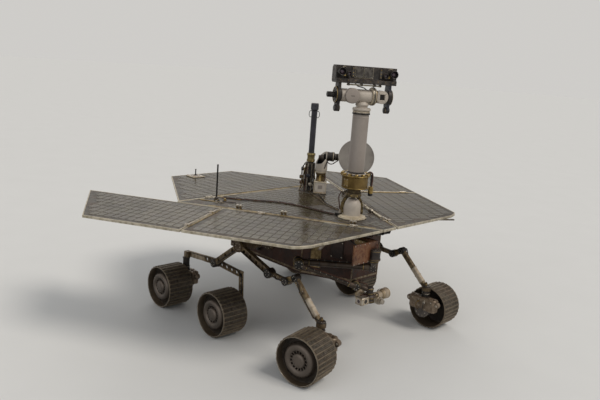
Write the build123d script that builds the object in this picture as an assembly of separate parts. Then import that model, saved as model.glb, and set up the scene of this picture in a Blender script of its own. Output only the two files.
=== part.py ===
"""A six-wheeled planetary rover, built piece by piece at its real size in millimetres.

X points forward, Y to the rover's left and Z up.  Positions of the machine are measured from the ground
below the middle axle; BASE_X then shifts everything so that X = 0 is halfway along the rover.
Round pieces are turned with flats, as many as their size needs to look round, so that the mesh stays light.
"""
from build123d import *
from math import cos, pi, radians, sin, tan
import os

os.makedirs("parts", exist_ok=True)

# Clearances
SEAT_GAP = 0.25            # two pieces bolted face to face
FACE_GAP = 0.3             # two faces that turn on each other

# Wheels and running gear
WHEEL_R = 121.0            # radius over the cleats
WHEEL_W = 156.0            # width of the tread
CLEAT_H = 4.0              # height of a cleat over the drum
CLEAT_W = 6.0
CLEAT_COUNT = 32
DRUM_WALL = 5.0            # thickness of the wheel's drum
WEB_DEPTH = 40.0           # web of the outer face behind the rim
HUB_R = 30.0               # tube that the wheel is driven by
HUB_END = 10.0             # inner end of that tube, outboard of the wheel's middle
TRACK_HALF = 540.0         # wheel centre to the rover's middle plane
FRONT_AXLE_X = 612.0
REAR_AXLE_X = -495.0
DRIVE_R = 27.0             # wheel drive inside the drum
GEARBOX_R = 34.0           # wheel drive inboard of the drum
KINGPIN_INBOARD = 108.0    # steering axis inboard of the wheel's centre
STEER_R = 22.0             # steering actuator
STEER_FOOT = 91.0          # its foot above the wheel's centre
STEER_H = 50.0
STEER_RIGHT = 10.5         # front wheels as parked, degrees to the left
STEER_LEFT = 2.0

# Suspension
ARM_PLANE_Y = TRACK_HALF - KINGPIN_INBOARD   # rocker and bogie beams, from the middle plane
PIVOT = (-12.0, 465.0)     # rocker pivot, X and Z
PIVOT_R = 32.0
ROCKER_JOINT = (234.0, 388.0)     # where the rocker's front arm folds
JOINT_R = 25.0
ROCKER_TURN = (361.0, 383.0)      # cross cylinder ahead of that joint
TURN_R = 21.0
STRUT_TOP = (422.0, 417.0)        # top of the front strut
STRUT_R = 19.0
BOGIE_PIVOT = (-220.0, 312.0)
BOGIE_PIVOT_R = 24.0
DRUM_OUT, DRUM_BACK = 18.0, 22.0  # how far those joints stand out of the beams, outboard and inboard
HOLE_R = 8.0               # lightening holes
ROCKER_W = 24.0            # width of the rocker's arms
ROCKER_ARM_H = 34.0        # their depth
STRUT_H, STRUT_W = 26.0, 20.0
BOGIE_W = 9.5              # thickness of the bogie's plates
BOGIE_FACE = 16.0          # their outboard face, inboard of the beams
BOGIE_H = 35.0             # depth of the bogie's arms
BOGIE_TAIL_Z = 288.0       # rear end of the bogie
BOGIE_NOSE = (-14.0, 302.0)       # front end, above the middle wheel's post
SHAFT_R, SHAFT_FLANGE_R = 26.0, 52.0

# Body and deck
DECK_TOP = 658.0
DECK_T = 12.0              # thickness of the deck and the panels
FRONT_X = 635.0            # straight front edge of the deck
FRONT_HALF = 55.0          # half the width of that edge
SWEEP = 30.0               # the deck's sides against the rover's length, degrees
REAR_HALF = 620.0          # half width of the deck's rear edge
DECK_REAR_X = FRONT_X - (REAR_HALF - FRONT_HALF) / tan(radians(SWEEP))
REAR_PANEL_L = 616.4       # length of the rear panel
REAR_PANEL_X = DECK_REAR_X - REAR_PANEL_L
REAR_PANEL_IN = 20.0       # how much narrower than the deck it starts
STRIP_W = 499.0            # width of a side strip of panels
STRIP_INNER = 858.0        # from the strip's front corner back to the wing hinge
WING_INNER = 799.0         # inner edge of a wing panel
WING_CLEAR = 8.0           # that edge out from the deck's hinge line
HINGE_GAP = 8.0            # space between two panels at a hinge
HINGE_LIFT = 4.0           # hinge line above the panels
KNUCKLE_R = 5.5            # outside of a hinge's knuckles
KNUCKLE_L = 24.0           # length of a moving knuckle
KNUCKLE_FIXED_L = 9.0      # length of a fixed one
LEAF_L, LEAF_T = 26.0, 4.0
BODY_HALF = 225.0          # half width of the warm box
BODY_NOSE_HALF = 105.0
BODY_FRONT_X = 500.0
BODY_SHOULDER_X = 250.0
BODY_REAR_CLEAR = 3.6      # body ahead of the rear panel's hinge line
BODY_REAR_X = DECK_REAR_X + BODY_REAR_CLEAR
BODY_BOTTOM = 350.0
BELLY_SPAN_X, BELLY_SPAN_Y = 400.0, 260.0    # between the hold-down holes
BELLY_HOLE_R = 5.5
BELLY_MARGIN = 25.0        # from a hole to the plate's edge
BELLY_X = -60.0
BELLY_T = 8.0

# Mast and head
MAST = (376.0, 0.0)
FLANGE_R, FLANGE_T = 74.0, 14.0
DOME_R = 44.0
DOME_TOP = 763.0
SHELF_R, SHELF_T = 40.0, 22.0     # shelf above the dome that carries the mast
FOLD_Z = 793.0             # top of that shelf, where the mast folds back
FOLD_BACK = 46.0           # fold line behind the mast's axis
CAN_BOTTOM, CAN_BODY_R = 818.0, 68.0
CAN_RIM_Z, CAN_TOP, CAN_R = 882.0, 900.0, 78.0
TUBE_R, TUBE_TOP = 42.0, 1202.0
TILT_Z = 1295.0            # axis that the camera bar tilts on
TILT_R = 33.0              # tilt actuator across the neck
BAR_LEN, BAR_H, BAR_D = 322.0, 82.0, 75.0
BAR_RISE = 106.0           # middle of the bar above its tilt axis
BAR_ARM_Y, BAR_ARM_T = 127.0, 16.0
BAR_SHELF_H = 20.0         # thick lower edge of the bar's face
KNOB_R, KNOB_Z = 17.0, 66.0       # lower knobs of the bar's arms, below its tilt axis
CROSS_R = 16.0             # rod through the tilt actuator
CAP_R, CAP_Y = 38.0, 69.0  # round cover on the actuator's right-hand end
RING_R, RING_Y = 49.0, 44.0
EYE_HALF, EYE_IN, EYE_OUT = 26.0, 74.0, 112.0     # square-mouthed box on its left-hand end
EYE_WALL = 7.0
HEAD_YAW = -29.0           # head as parked, degrees to the left of straight ahead

# Antennas
DISH_FROM_REAR = 193.6     # ahead of the deck's rear edge
DISH_Y = 300.0
DISH_BASE_HALF, DISH_BASE_T = 40.0, 10.0
DISH_BOX_HALF, DISH_BOX_TOP = 34.0, 734.0
DISH_NECK_R = 24.0
GIMBAL_R = 36.0
DISH_HUB = 112.0           # from the turning axis to the end of the tilt drive
TILT_DRIVE_R = 26.0
CARRIER_R = 17.0
DISH_TURN_Z = 785.0        # top of the pedestal, where the dish turns
DISH_AXIS_Z = 889.0
DISH_ARM = 205.0           # turning axis to the middle of the dish
DISH_R = 108.0
DISH_TURN = 44.0           # direction of the dish's arm, degrees to the left of ahead
DISH_TILT = 16.0           # dish face above the horizon
LOW_GAIN_FROM_REAR = 100.6
LOW_GAIN_Y = 298.0
LOW_GAIN_FOOT_R, LOW_GAIN_R, LOW_GAIN_COLLAR_R, LOW_GAIN_TUBE_R, LOW_GAIN_CAP_R = 34.0, 19.0, 26.0, 15.0, 23.0
LOW_GAIN_COLLAR_Z, LOW_GAIN_COLLAR_H = 843.0, 51.0
LOW_GAIN_TOP = 1202.0
LOW_GAIN_CAP_H = 43.0
WHIP_FROM_REAR = 78.6
WHIP_FROM_SIDE = 213.0     # in from the deck's rear corner
WHIP_TOP = 861.0

TARGET_FROM_REAR = 70.0    # colour target, ahead of the rear panel's edge
TARGET_Y = -107.0
TARGET_HALF = 45.0

# Arm, stowed below the front of the deck
SHOULDER = (600.0, -70.0, 458.0)
ELBOW = (352.0, -352.0, 466.0)
WRIST = (547.0, -130.0, 366.0)
TURRET = (594.0, -62.0, 323.0)
ARM_R = 19.0
ELBOW_R = 24.0
FORE_R = 14.0
WRIST_R = 19.0
SHOULDER_TURN_Z = 497.0    # face that the shoulder turns on
SHOULDER_R = 29.0
MOUNT_H = 97.0             # gold bracket that carries the shoulder
MOUNT_IN, MOUNT_OUT = 152.0, 27.0
MOUNT_T = 12.0
EAR_IN, EAR_OUT = 21.0, 29.0
HUB_HALF = 20.7
FORE_SIDE = 42.0           # forearm beside the upper arm
FORE_IN, FORE_OUT = 26.0, 56.0
TURRET_H, TURRET_R = 44.0, 34.0
CUP_R, CUP_LIP_R = 22.0, 28.0     # cup at the turret's end
CUP_L, CUP_LIP_L = 112.0, 30.0
GRINDER_R, GRINDER_L = 19.0, 62.0
TIP_R, TIP_L = 13.0, 20.0
LENS_BOX_L, LENS_BOX_IN = 82.0, 26.0
LENS_BOX_HALF = 20.0
CAN_ARM_R, CAN_ARM_L = 20.0, 76.0
CAN_CAP_R, CAN_CAP_L = 25.0, 14.0


def steered(angle):
    """Half length of a steered wheel's outline along the rover."""
    return WHEEL_R * cos(radians(angle)) + WHEEL_W / 2 * sin(radians(angle))


FRONT_EXTENT = FRONT_AXLE_X + KINGPIN_INBOARD * sin(radians(STEER_RIGHT)) + steered(STEER_RIGHT)
BASE_X = -(FRONT_EXTENT + REAR_PANEL_X) / 2


# Small helpers shared by every section

def box(x0, x1, y0, y1, z0, z1):
    return Pos((x0 + x1) / 2, (y0 + y1) / 2, (z0 + z1) / 2) * Box(abs(x1 - x0), abs(y1 - y0), abs(z1 - z0))


def turned(rings, flats):
    """Turned piece about Z: rings of (radius, height) from the foot, over the outside, to the top."""
    loops = []
    for r, z in rings:
        loops.append([(r * cos(2 * pi * i / flats), r * sin(2 * pi * i / flats), z) for i in range(flats)])
    faces = [Face(Wire.make_polygon(loops[0][::-1])), Face(Wire.make_polygon(loops[-1]))]
    for low, high in zip(loops, loops[1:]):
        for i in range(flats):
            j = (i + 1) % flats
            faces.append(Face(Wire.make_polygon([low[i], low[j], high[j], high[i]])))
    return Solid(Shell(faces))


def rod(p, q, r, flats=10):
    """Bar from p to q with flats."""
    axis = Vector(*q) - Vector(*p)
    return Plane(origin=p, z_dir=axis) * turned([(r, 0), (r, axis.length)], flats)


def beam(p, q, deep, wide, side=(0, 1, 0)):
    """Square bar from p to q: wide is measured along side, deep across it."""
    axis = Vector(*q) - Vector(*p)
    plane = Plane(origin=p, x_dir=side, z_dir=axis)
    return plane * Box(wide, deep, axis.length, align=(Align.CENTER, Align.CENTER, Align.MIN))


def prism(points, z0, z1):
    """Flat plate with the given outline."""
    face = make_face(Polyline([(x, y, z0) for x, y in points], close=True))
    return extrude(face, amount=z1 - z0, dir=(0, 0, 1))


def other_side(shape):
    """The same piece on the rover's other side."""
    return mirror(shape, about=Plane.XZ)


def spun(shape, angle, about):
    """Turn a shape about a vertical line."""
    return Pos(about[0], about[1], 0) * Rot(0, 0, angle) * Pos(-about[0], -about[1], 0) * shape


def moved(p, d, amount):
    return tuple(p[i] + d[i] * amount for i in range(3))


def save(name, shape):
    """Shift into the shared frame and write one piece; several loose solids become one compound."""
    placed = Pos(BASE_X, 0, 0) * shape
    solids = placed.solids()
    out = solids[0] if len(solids) == 1 else Compound(children=solids)
    out.label = name
    export_step(out, f"parts/{name}.step")


# Wheels: a drum with cleats, open inside, with a bulging outer face that is let in behind the rim

def wheel():
    """One wheel about the Y axis, outer face towards -Y."""
    r, w = WHEEL_R - CLEAT_H, WHEEL_W / 2
    inner = r - DRUM_WALL
    web = w - WEB_DEPTH
    outline = []
    for i in range(CLEAT_COUNT):
        a = 2 * pi * i / CLEAT_COUNT
        half = CLEAT_W / 2
        for reach, aside in ((r, -half), (WHEEL_R, -half), (WHEEL_R, half), (r, half)):
            outline.append((reach * cos(a) - aside * sin(a), reach * sin(a) + aside * cos(a)))
    drum = prism(outline, -w, w) - turned([(inner, -w - 1), (inner, w + 1)], 16)
    face = turned([(HUB_R, HUB_END), (HUB_R, web - 6), (inner + 0.5, web - 6), (inner + 0.5, web),
                   (97, web), (90, w - 8), (46, w - 14), (40, w - 27), (36, w - 8), (18, w - 1)], 16)
    return Plane(origin=(0, 0, 0), x_dir=(1, 0, 0), z_dir=(0, -1, 0)) * (drum + face)


def drive(reach):
    """Wheel drive of a wheel centred on the origin: it ends just inside the hub tube's face."""
    w = WHEEL_W / 2
    return (rod((0, FACE_GAP - HUB_END, 0), (0, w + 8, 0), DRIVE_R)
            + rod((0, w + 6, 0), (0, w + reach, 0), GEARBOX_R))


# name, side (+1 left), axle X, how far it is turned as parked, whether it steers
WHEELS = [
    dict(name="front_right", side=-1, x=FRONT_AXLE_X, turn=STEER_RIGHT, steers=True),
    dict(name="front_left", side=1, x=FRONT_AXLE_X, turn=STEER_LEFT, steers=True),
    dict(name="middle_right", side=-1, x=0.0, turn=0.0, steers=False),
    dict(name="middle_left", side=1, x=0.0, turn=0.0, steers=False),
    dict(name="rear_right", side=-1, x=REAR_AXLE_X, turn=0.0, steers=True),
    dict(name="rear_left", side=1, x=REAR_AXLE_X, turn=0.0, steers=True),
]


def knuckle():
    """Steering knuckle in a right-hand wheel's own frame: turning flange, C-bracket and wheel drive."""
    k = KINGPIN_INBOARD
    top = STEER_FOOT - FACE_GAP
    flange = rod((0, k, top - 12), (0, k, top), STEER_R)
    side = Plane(origin=(0, k + 6, 0), x_dir=(1, 0, 0), z_dir=(0, -1, 0))
    half = [(34, 14), (34, -16), (20, -34)]
    outline = [(-22, top - 10), (22, top - 10)] + half + [(-x, z) for x, z in reversed(half)]
    plate = extrude(side * make_face(Polyline([(x, z, 0) for x, z in outline], close=True)), amount=-10)
    shelf = box(-22, 22, k - 22, k + 14, top - 20, top - 11)
    return flange + plate + shelf + drive(k - WHEEL_W / 2 + 8)


def build_wheels():
    one, steer = wheel(), knuckle()
    for row in WHEELS:
        flip = other_side if row["side"] > 0 else (lambda shape: shape)
        about = (row["x"], row["side"] * (TRACK_HALF - KINGPIN_INBOARD))
        place = Pos(row["x"], row["side"] * TRACK_HALF, WHEEL_R)
        save("wheel_" + row["name"], spun(place * flip(one), row["turn"], about))
        if row["steers"]:
            save("knuckle_" + row["name"], spun(place * flip(steer), row["turn"], about))


# Suspension: a rocker and a bogie on each side, drawn for the right-hand side

def steering(x, height):
    """Steering actuator that a knuckle turns below."""
    y = TRACK_HALF - KINGPIN_INBOARD
    z = WHEEL_R + STEER_FOOT
    return rod((x, -y, z), (x, -y, z + height), STEER_R)


def perforated(p, q, deep, wide, holes):
    """Arm with a row of lightening holes."""
    arm = beam(p, q, deep, wide)
    a, b = Vector(*p), Vector(*q)
    for i in range(holes):
        c = a + (b - a) * ((i + 1.0) / (holes + 1.0))
        arm -= rod((c.X, c.Y - wide, c.Z), (c.X, c.Y + wide, c.Z), HOLE_R, 8)
    return arm


def rocker():
    y = -ARM_PLANE_Y

    def at(x, z):
        return (x, y, z)

    def drum(spot, r, out):
        return rod((spot[0], y + DRUM_BACK, spot[1]), (spot[0], y - out, spot[1]), r)

    joint, turn, top = at(*ROCKER_JOINT), at(*ROCKER_TURN), at(*STRUT_TOP)
    foot = at(FRONT_AXLE_X, WHEEL_R + STEER_FOOT + STEER_H * 0.6)
    arm = perforated(at(*PIVOT), joint, ROCKER_ARM_H, ROCKER_W, 4)
    link = beam(joint, turn, ROCKER_ARM_H * 0.7, ROCKER_W * 0.75)
    bracket = beam(turn, top, ROCKER_ARM_H, ROCKER_W * 0.9)
    strut = beam(top, foot, STRUT_H, STRUT_W)
    rear = perforated(at(*PIVOT), at(*BOGIE_PIVOT), ROCKER_ARM_H * 0.9, ROCKER_W * 0.9, 2)
    joints = (drum(PIVOT, PIVOT_R, DRUM_OUT) + drum(ROCKER_JOINT, JOINT_R, DRUM_OUT + 4)
              + drum(ROCKER_TURN, TURN_R, DRUM_OUT + 2) + drum(STRUT_TOP, STRUT_R, DRUM_OUT - 3))
    bx, bz = BOGIE_PIVOT
    tail = rod((bx, y + BOGIE_FACE, bz), (bx, y - DRUM_OUT, bz), BOGIE_PIVOT_R)
    return arm + link + bracket + strut + rear + joints + tail + steering(FRONT_AXLE_X, STEER_H)


def bogie():
    """Plates below the rocker's tail, carrying the middle wheel's drive and the rear steering actuator."""
    y = -ARM_PLANE_Y
    px, pz = BOGIE_PIVOT
    plate_y = y + BOGIE_FACE + SEAT_GAP
    mid = plate_y + BOGIE_W / 2
    nose_x, nose_z = BOGIE_NOSE
    cheek = rod((px, plate_y, pz), (px, plate_y + BOGIE_W, pz), BOGIE_PIVOT_R + 2)
    front = perforated((px, mid, pz), (nose_x, mid, nose_z), BOGIE_H, BOGIE_W, 4)
    post = beam((nose_x, mid, nose_z + 4), (0, mid, WHEEL_R), BOGIE_H, BOGIE_W)
    tail = perforated((px, mid, pz), (REAR_AXLE_X, mid, BOGIE_TAIL_Z), BOGIE_H, BOGIE_W, 4)
    half = BOGIE_H / 2
    low, high = BOGIE_TAIL_Z - half, BOGIE_TAIL_Z + half
    end = box(REAR_AXLE_X - half, REAR_AXLE_X + half, y - 8, plate_y + BOGIE_W, low, high)
    hub = Pos(0, -TRACK_HALF, WHEEL_R) * drive(TRACK_HALF + mid - WHEEL_W / 2 + 8)
    steer = steering(REAR_AXLE_X, BOGIE_TAIL_Z - WHEEL_R - STEER_FOOT)
    return cheek + front + post + tail + end + hub + steer


def build_suspension():
    right_rocker, right_bogie = rocker(), bogie()
    save("rocker_right", right_rocker)
    save("rocker_left", other_side(right_rocker))
    save("bogie_right", right_bogie)
    save("bogie_left", other_side(right_bogie))
    y0 = ARM_PLANE_Y - DRUM_BACK - SEAT_GAP
    x, z = PIVOT
    shaft = rod((x, -y0, z), (x, -BODY_HALF - SEAT_GAP, z), SHAFT_R)
    shaft += rod((x, -BODY_HALF - SHAFT_R, z), (x, -BODY_HALF - SEAT_GAP, z), SHAFT_FLANGE_R, 12)
    save("rocker_shafts", Compound(children=[shaft, other_side(shaft)]))


# Deck and the panels round it.  A right-hand strip follows the deck's right side.

ALONG = (cos(radians(SWEEP)), sin(radians(SWEEP)))     # from the rear to the front of a right-hand side
ACROSS = (sin(radians(SWEEP)), -cos(radians(SWEEP)))   # outwards from it


def on_strip(back, out):
    """Point of the right-hand strip: back from its front corner, and outwards from the hinge line."""
    return (FRONT_X - back * ALONG[0] + out * ACROSS[0], -FRONT_HALF - back * ALONG[1] + out * ACROSS[1])


def deck():
    h = HINGE_GAP / 2
    cut = h / cos(radians(SWEEP))
    rear = REAR_HALF - cut - h * tan(radians(SWEEP))
    outline = [(FRONT_X, FRONT_HALF - cut), (DECK_REAR_X + h, rear),
               (DECK_REAR_X + h, -rear), (FRONT_X, -FRONT_HALF + cut)]
    return prism(outline, DECK_TOP - DECK_T, DECK_TOP)


def front_cut(out):
    """How far back from the front corner a line at this distance out meets the straight front edge."""
    return out * ACROSS[0] / ALONG[0]


def primary_panel():
    h, w = HINGE_GAP / 2, STRIP_W
    corner = [on_strip(front_cut(w - 60), w - 60), on_strip(front_cut(w) + 10, w - 16),
              on_strip(front_cut(w) + 42, w)]
    back = STRIP_INNER - h
    outline = [on_strip(front_cut(h), h)] + corner + [on_strip(back, w), on_strip(back, h)]
    return prism(outline, DECK_TOP - DECK_T, DECK_TOP)


def wing_panel():
    s, h, c = STRIP_INNER, HINGE_GAP / 2, WING_CLEAR
    slant = tan(radians(SWEEP))
    outline = [on_strip(s + h, c), on_strip(s + h, STRIP_W),
               on_strip(s + WING_INNER - STRIP_W * slant, STRIP_W), on_strip(s + WING_INNER - c * slant, c)]
    return prism(outline, DECK_TOP - DECK_T, DECK_TOP)


def rear_panel():
    x0 = DECK_REAR_X - HINGE_GAP / 2
    half = REAR_HALF - REAR_PANEL_IN
    end = half - (x0 - REAR_PANEL_X) * tan(radians(SWEEP))
    outline = [(x0, half), (x0, -half), (REAR_PANEL_X, -end), (REAR_PANEL_X, end)]
    return prism(outline, DECK_TOP - DECK_T, DECK_TOP)


def hinge(p, along, toward):
    """One hinge at p: fixed knuckles and the moving one between them; toward points at the moving panel."""
    z = DECK_TOP + HINGE_LIFT
    frame = Plane(origin=(p[0], p[1], z), x_dir=(toward[0], toward[1], 0), z_dir=(along[0], along[1], 0))
    up = 1 if frame.y_dir.Z > 0 else -1
    low, r = -HINGE_LIFT - 1.0, KNUCKLE_R

    def knuckle_leaf(way, a, b):
        high = low + LEAF_T
        outline = [(LEAF_L, low), (LEAF_L, high), (r, high), (r * 0.6, r * 0.8), (-r * 0.6, r * 0.8), (-r, 0),
                   (-r * 0.6, low)]
        face = make_face(Polyline([(way * x, up * y, 0) for x, y in outline], close=True))
        return frame * Pos(0, 0, a) * extrude(face, amount=b - a, dir=(0, 0, 1))

    half = KNUCKLE_L / 2
    near = half + FACE_GAP
    far = near + KNUCKLE_FIXED_L
    fixed = [knuckle_leaf(-1, -far, -near), knuckle_leaf(-1, near, far)]
    return fixed, knuckle_leaf(1, -half, half)


def build_deck():
    on_deck, on_primary, on_wing = [], [], []
    for back in (150.0, 640.0):
        fixed, leaf = hinge(on_strip(back, 0), ALONG, ACROSS)
        on_deck += fixed
        on_primary.append(leaf)
    for out in (110.0, 400.0):
        fixed, leaf = hinge(on_strip(STRIP_INNER, out), ACROSS, (-ALONG[0], -ALONG[1]))
        on_primary += fixed
        on_wing.append(leaf)
    rear_fixed, rear_leaf = [], []
    for y in (-400.0, 400.0):
        fixed, leaf = hinge((DECK_REAR_X, y), (0, 1), (-1, 0))
        rear_fixed += fixed
        rear_leaf.append(leaf)
    save("equipment_deck", deck() + on_deck + [other_side(s) for s in on_deck] + rear_fixed)
    primary, wing = primary_panel() + on_primary, wing_panel() + on_wing
    save("panel_primary_right", primary)
    save("panel_primary_left", other_side(primary))
    save("panel_wing_right", wing)
    save("panel_wing_left", other_side(wing))
    save("panel_rear", rear_panel() + rear_leaf)


# Warm box below the deck, with the pattern of holes it was once held down by

def build_body():
    outline = [(BODY_FRONT_X, BODY_NOSE_HALF), (BODY_SHOULDER_X, BODY_HALF), (BODY_REAR_X, BODY_HALF),
               (BODY_REAR_X, -BODY_HALF), (BODY_SHOULDER_X, -BODY_HALF), (BODY_FRONT_X, -BODY_NOSE_HALF)]
    save("body_box", prism(outline, BODY_BOTTOM, DECK_TOP - DECK_T - SEAT_GAP))
    z1 = BODY_BOTTOM - SEAT_GAP
    dx, dy, edge = BELLY_SPAN_X / 2, BELLY_SPAN_Y / 2, BELLY_MARGIN
    plate = box(BELLY_X - dx - edge, BELLY_X + dx + edge, -dy - edge, dy + edge, z1 - BELLY_T, z1)
    for x in (BELLY_X - dx, BELLY_X + dx):
        for y in (-dy, dy):
            plate -= Pos(x, y, z1 - BELLY_T / 2) * Cylinder(BELLY_HOLE_R, BELLY_T + 2)
    save("belly_plate", plate)


# Mast: flange, dome and arched bracket on the deck, canister and tube, then the head

def build_mast():
    x, y = MAST
    z = DECK_TOP + SEAT_GAP
    stand = turned([(FLANGE_R, z), (FLANGE_R, z + FLANGE_T), (DOME_R, z + FLANGE_T), (DOME_R, 712), (38, 738),
                    (24, 757), (8, DOME_TOP)], 16)
    shelf = turned([(SHELF_R, FOLD_Z - SHELF_T), (SHELF_R, FOLD_Z)], 16)
    back = Plane(origin=(0, 0, 0), x_dir=(0, 1, 0), z_dir=(1, 0, 0))
    arch = [(-52, z + FLANGE_T - 2), (-52, 720), (-34, FOLD_Z - SHELF_T + 6), (-22, FOLD_Z), (22, FOLD_Z),
            (34, FOLD_Z - SHELF_T + 6), (52, 720), (52, z + FLANGE_T - 2)]
    plate = extrude(back * make_face(Polyline([(a, b, 0) for a, b in arch], close=True)), amount=12)
    plate = Rot(0, 0, -45) * Pos(-DOME_R - 14, 0, 0) * plate
    bridge = Rot(0, 0, -45) * box(-DOME_R - 8, -20, -22, 22, FOLD_Z - SHELF_T, FOLD_Z)
    lugs = [box(-FOLD_BACK - 6, -SHELF_R + 6, s * 14 - 6, s * 14 + 6, FOLD_Z - 8, FOLD_Z) for s in (-1, 1)]
    pins = [rod((-FOLD_BACK, s * 14 - 6, FOLD_Z), (-FOLD_BACK, s * 14 + 6, FOLD_Z), 6, 8) for s in (-1, 1)]
    save("mast_base", Pos(x, y, 0) * (stand + plate + bridge + shelf + lugs + pins))

    foot = FOLD_Z + SEAT_GAP
    can = turned([(36, foot), (36, CAN_BOTTOM), (CAN_BODY_R, CAN_BOTTOM), (CAN_BODY_R, CAN_RIM_Z),
                  (CAN_R, CAN_RIM_Z), (CAN_R, CAN_TOP)], 24)
    notch = box(CAN_R - 6, CAN_R + 1, -5, 5, CAN_TOP - 8, CAN_TOP + 1)
    can -= [Rot(0, 0, 30.0 * i + 7.5) * notch for i in range(12)]
    half = 14 - 6 - FACE_GAP
    can += box(-FOLD_BACK, -30, -half, half, foot, foot + 6)
    can += rod((-FOLD_BACK, -half, FOLD_Z), (-FOLD_BACK, half, FOLD_Z), 6, 8)
    save("mast_canister", Pos(x, y, 0) * can)
    save("mast_tube", Pos(x, y, 0) * turned([(TUBE_R, CAN_TOP + FACE_GAP), (TUBE_R, TUBE_TOP)], 32))

    z0 = TUBE_TOP + SEAT_GAP
    neck = turned([(46, z0), (46, z0 + 8), (38, z0 + 9), (38, z0 + 18), (47, z0 + 19), (47, z0 + 32),
                   (28, z0 + 36), (34, z0 + 50), (24, z0 + 66)], 12)
    arm_in = BAR_ARM_Y - FACE_GAP
    yoke = neck + rod((0, -arm_in + 4, TILT_Z), (0, RING_Y + 18, TILT_Z), TILT_R, 12)
    yoke += rod((0, -arm_in, TILT_Z), (0, arm_in, TILT_Z), CROSS_R)
    yoke += rod((0, RING_Y, TILT_Z), (0, RING_Y + 10, TILT_Z), RING_R, 12)
    yoke += rod((CROSS_R, -CAP_Y, TILT_Z), (CAP_R + 8, -CAP_Y, TILT_Z), CAP_R, 12)
    eye, hole = EYE_HALF, EYE_HALF - EYE_WALL
    yoke += box(-14, eye + 14, EYE_IN, EYE_OUT, TILT_Z - eye, TILT_Z + eye)
    yoke -= box(hole, eye + 15, EYE_IN + EYE_WALL, EYE_OUT - EYE_WALL, TILT_Z - hole, TILT_Z + hole)
    save("head_yoke", Pos(x, y, 0) * Rot(0, 0, HEAD_YAW) * yoke)

    half, d = BAR_LEN / 2, BAR_D / 2
    zb = TILT_Z + BAR_RISE
    side = Plane(origin=(0, -half, 0), x_dir=(1, 0, 0), z_dir=(0, -1, 0))
    step = BAR_SHELF_H - BAR_H / 2
    profile = [(-d + 8, -BAR_H / 2), (d + 4, -BAR_H / 2), (d + 4, step), (d - 3, step + 2),
               (d - 3, BAR_H / 2), (-d + 12, BAR_H / 2), (-d, BAR_H / 2 - 12), (-d, -BAR_H / 2 + 8)]
    end_face = make_face(Polyline([(a, zb + b, 0) for a, b in profile], close=True))
    bar = extrude(side * end_face, amount=-BAR_LEN)
    for s in (-1, 1):
        y0, y1 = s * BAR_ARM_Y, s * (BAR_ARM_Y + BAR_ARM_T)
        bar += box(-20, 20, y0, y1, TILT_Z - 52, zb - BAR_H / 2 + 1)
        bar += rod((0, y0, TILT_Z), (0, y1 + s * 8, TILT_Z), 30)
        bar += rod((0, y0 - s * 6, TILT_Z - KNOB_Z), (0, y1 + s * 6, TILT_Z - KNOB_Z), KNOB_R)
    save("camera_bar", Pos(x, y, 0) * Rot(0, 0, HEAD_YAW) * bar)
    face = d - 3 + SEAT_GAP
    lenses = []
    for s in (-1, 1):
        lenses.append(rod((face, s * 138, zb + 10), (face + 26, s * 138, zb + 10), 20, 16))
        lenses.append(rod((face, s * 98, zb), (face + 15, s * 98, zb), 14))
    save("camera_lenses", Pos(x, y, 0) * Rot(0, 0, HEAD_YAW) * Compound(children=lenses))


# Antennas

def build_antennas():
    x, y = DECK_REAR_X + DISH_FROM_REAR, DISH_Y
    z = DECK_TOP + SEAT_GAP
    a, b, top = DISH_BASE_HALF, DISH_BOX_HALF, DISH_BOX_TOP
    stand = box(-a, a, -a, a, z, z + DISH_BASE_T) + box(-b, b, -b, b, z + DISH_BASE_T - 1, top)
    r, rim = DISH_NECK_R, DISH_NECK_R + 7
    stand += turned([(r + 4, top - 1), (r, top + 11), (r, top + 36), (rim, top + 39), (rim, DISH_TURN_Z)], 12)
    save("dish_pedestal", Pos(x, y, 0) * Rot(0, 0, DISH_TURN) * stand)
    low, axis, r = DISH_TURN_Z + FACE_GAP, DISH_AXIS_Z, GIMBAL_R
    turn = turned([(rim, low), (r, low + 20), (r, axis), (r - 8, axis + 24), (r - 20, axis + 28)], 12)
    hub = DISH_HUB
    turn += rod((20, 0, axis), (74, 0, axis), TILT_DRIVE_R)
    turn += rod((70, 0, axis), (hub, 0, axis), TILT_DRIVE_R - 7)
    save("dish_gimbal", Pos(x, y, 0) * Rot(0, 0, DISH_TURN) * turn)

    away = Plane(origin=(DISH_ARM, 0, DISH_AXIS_Z), x_dir=(1, 0, 0),
                 z_dir=(0, -cos(radians(DISH_TILT)), sin(radians(DISH_TILT))))
    disc = away * turned([(24, -20), (30, 30), (DISH_R, 44), (DISH_R, 55), (DISH_R - 6, 55), (20, 51)], 24)
    carrier = rod((hub + FACE_GAP, 0, DISH_AXIS_Z), (DISH_ARM, 0, DISH_AXIS_Z), CARRIER_R)
    save("dish", Pos(x, y, 0) * Rot(0, 0, DISH_TURN) * (disc + carrier))

    x, y = DECK_REAR_X + LOW_GAIN_FROM_REAR, LOW_GAIN_Y
    foot, r, collar = LOW_GAIN_FOOT_R, LOW_GAIN_R, LOW_GAIN_COLLAR_R
    thin, cap = LOW_GAIN_TUBE_R, LOW_GAIN_CAP_R
    low, high, neck = LOW_GAIN_COLLAR_Z, LOW_GAIN_COLLAR_Z + LOW_GAIN_COLLAR_H, LOW_GAIN_TOP - LOW_GAIN_CAP_H
    mast = turned([(foot, z), (foot, z + 12), (r, z + 14), (r, low - 1), (collar, low), (collar, high),
                   (thin, high + 3), (thin, neck), (cap, neck + 1), (cap, LOW_GAIN_TOP)], 10)
    save("low_gain_antenna", Pos(x, y, 0) * mast)
    x, y = DECK_REAR_X + WHIP_FROM_REAR, WHIP_FROM_SIDE - REAR_HALF
    save("whip_antenna", Pos(x, y, 0) * turned([(15, z), (15, z + 14), (5, z + 18), (4, WHIP_TOP)], 8))


# Arm: five joints, stowed with the forearm folded beside and below the upper arm

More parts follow.
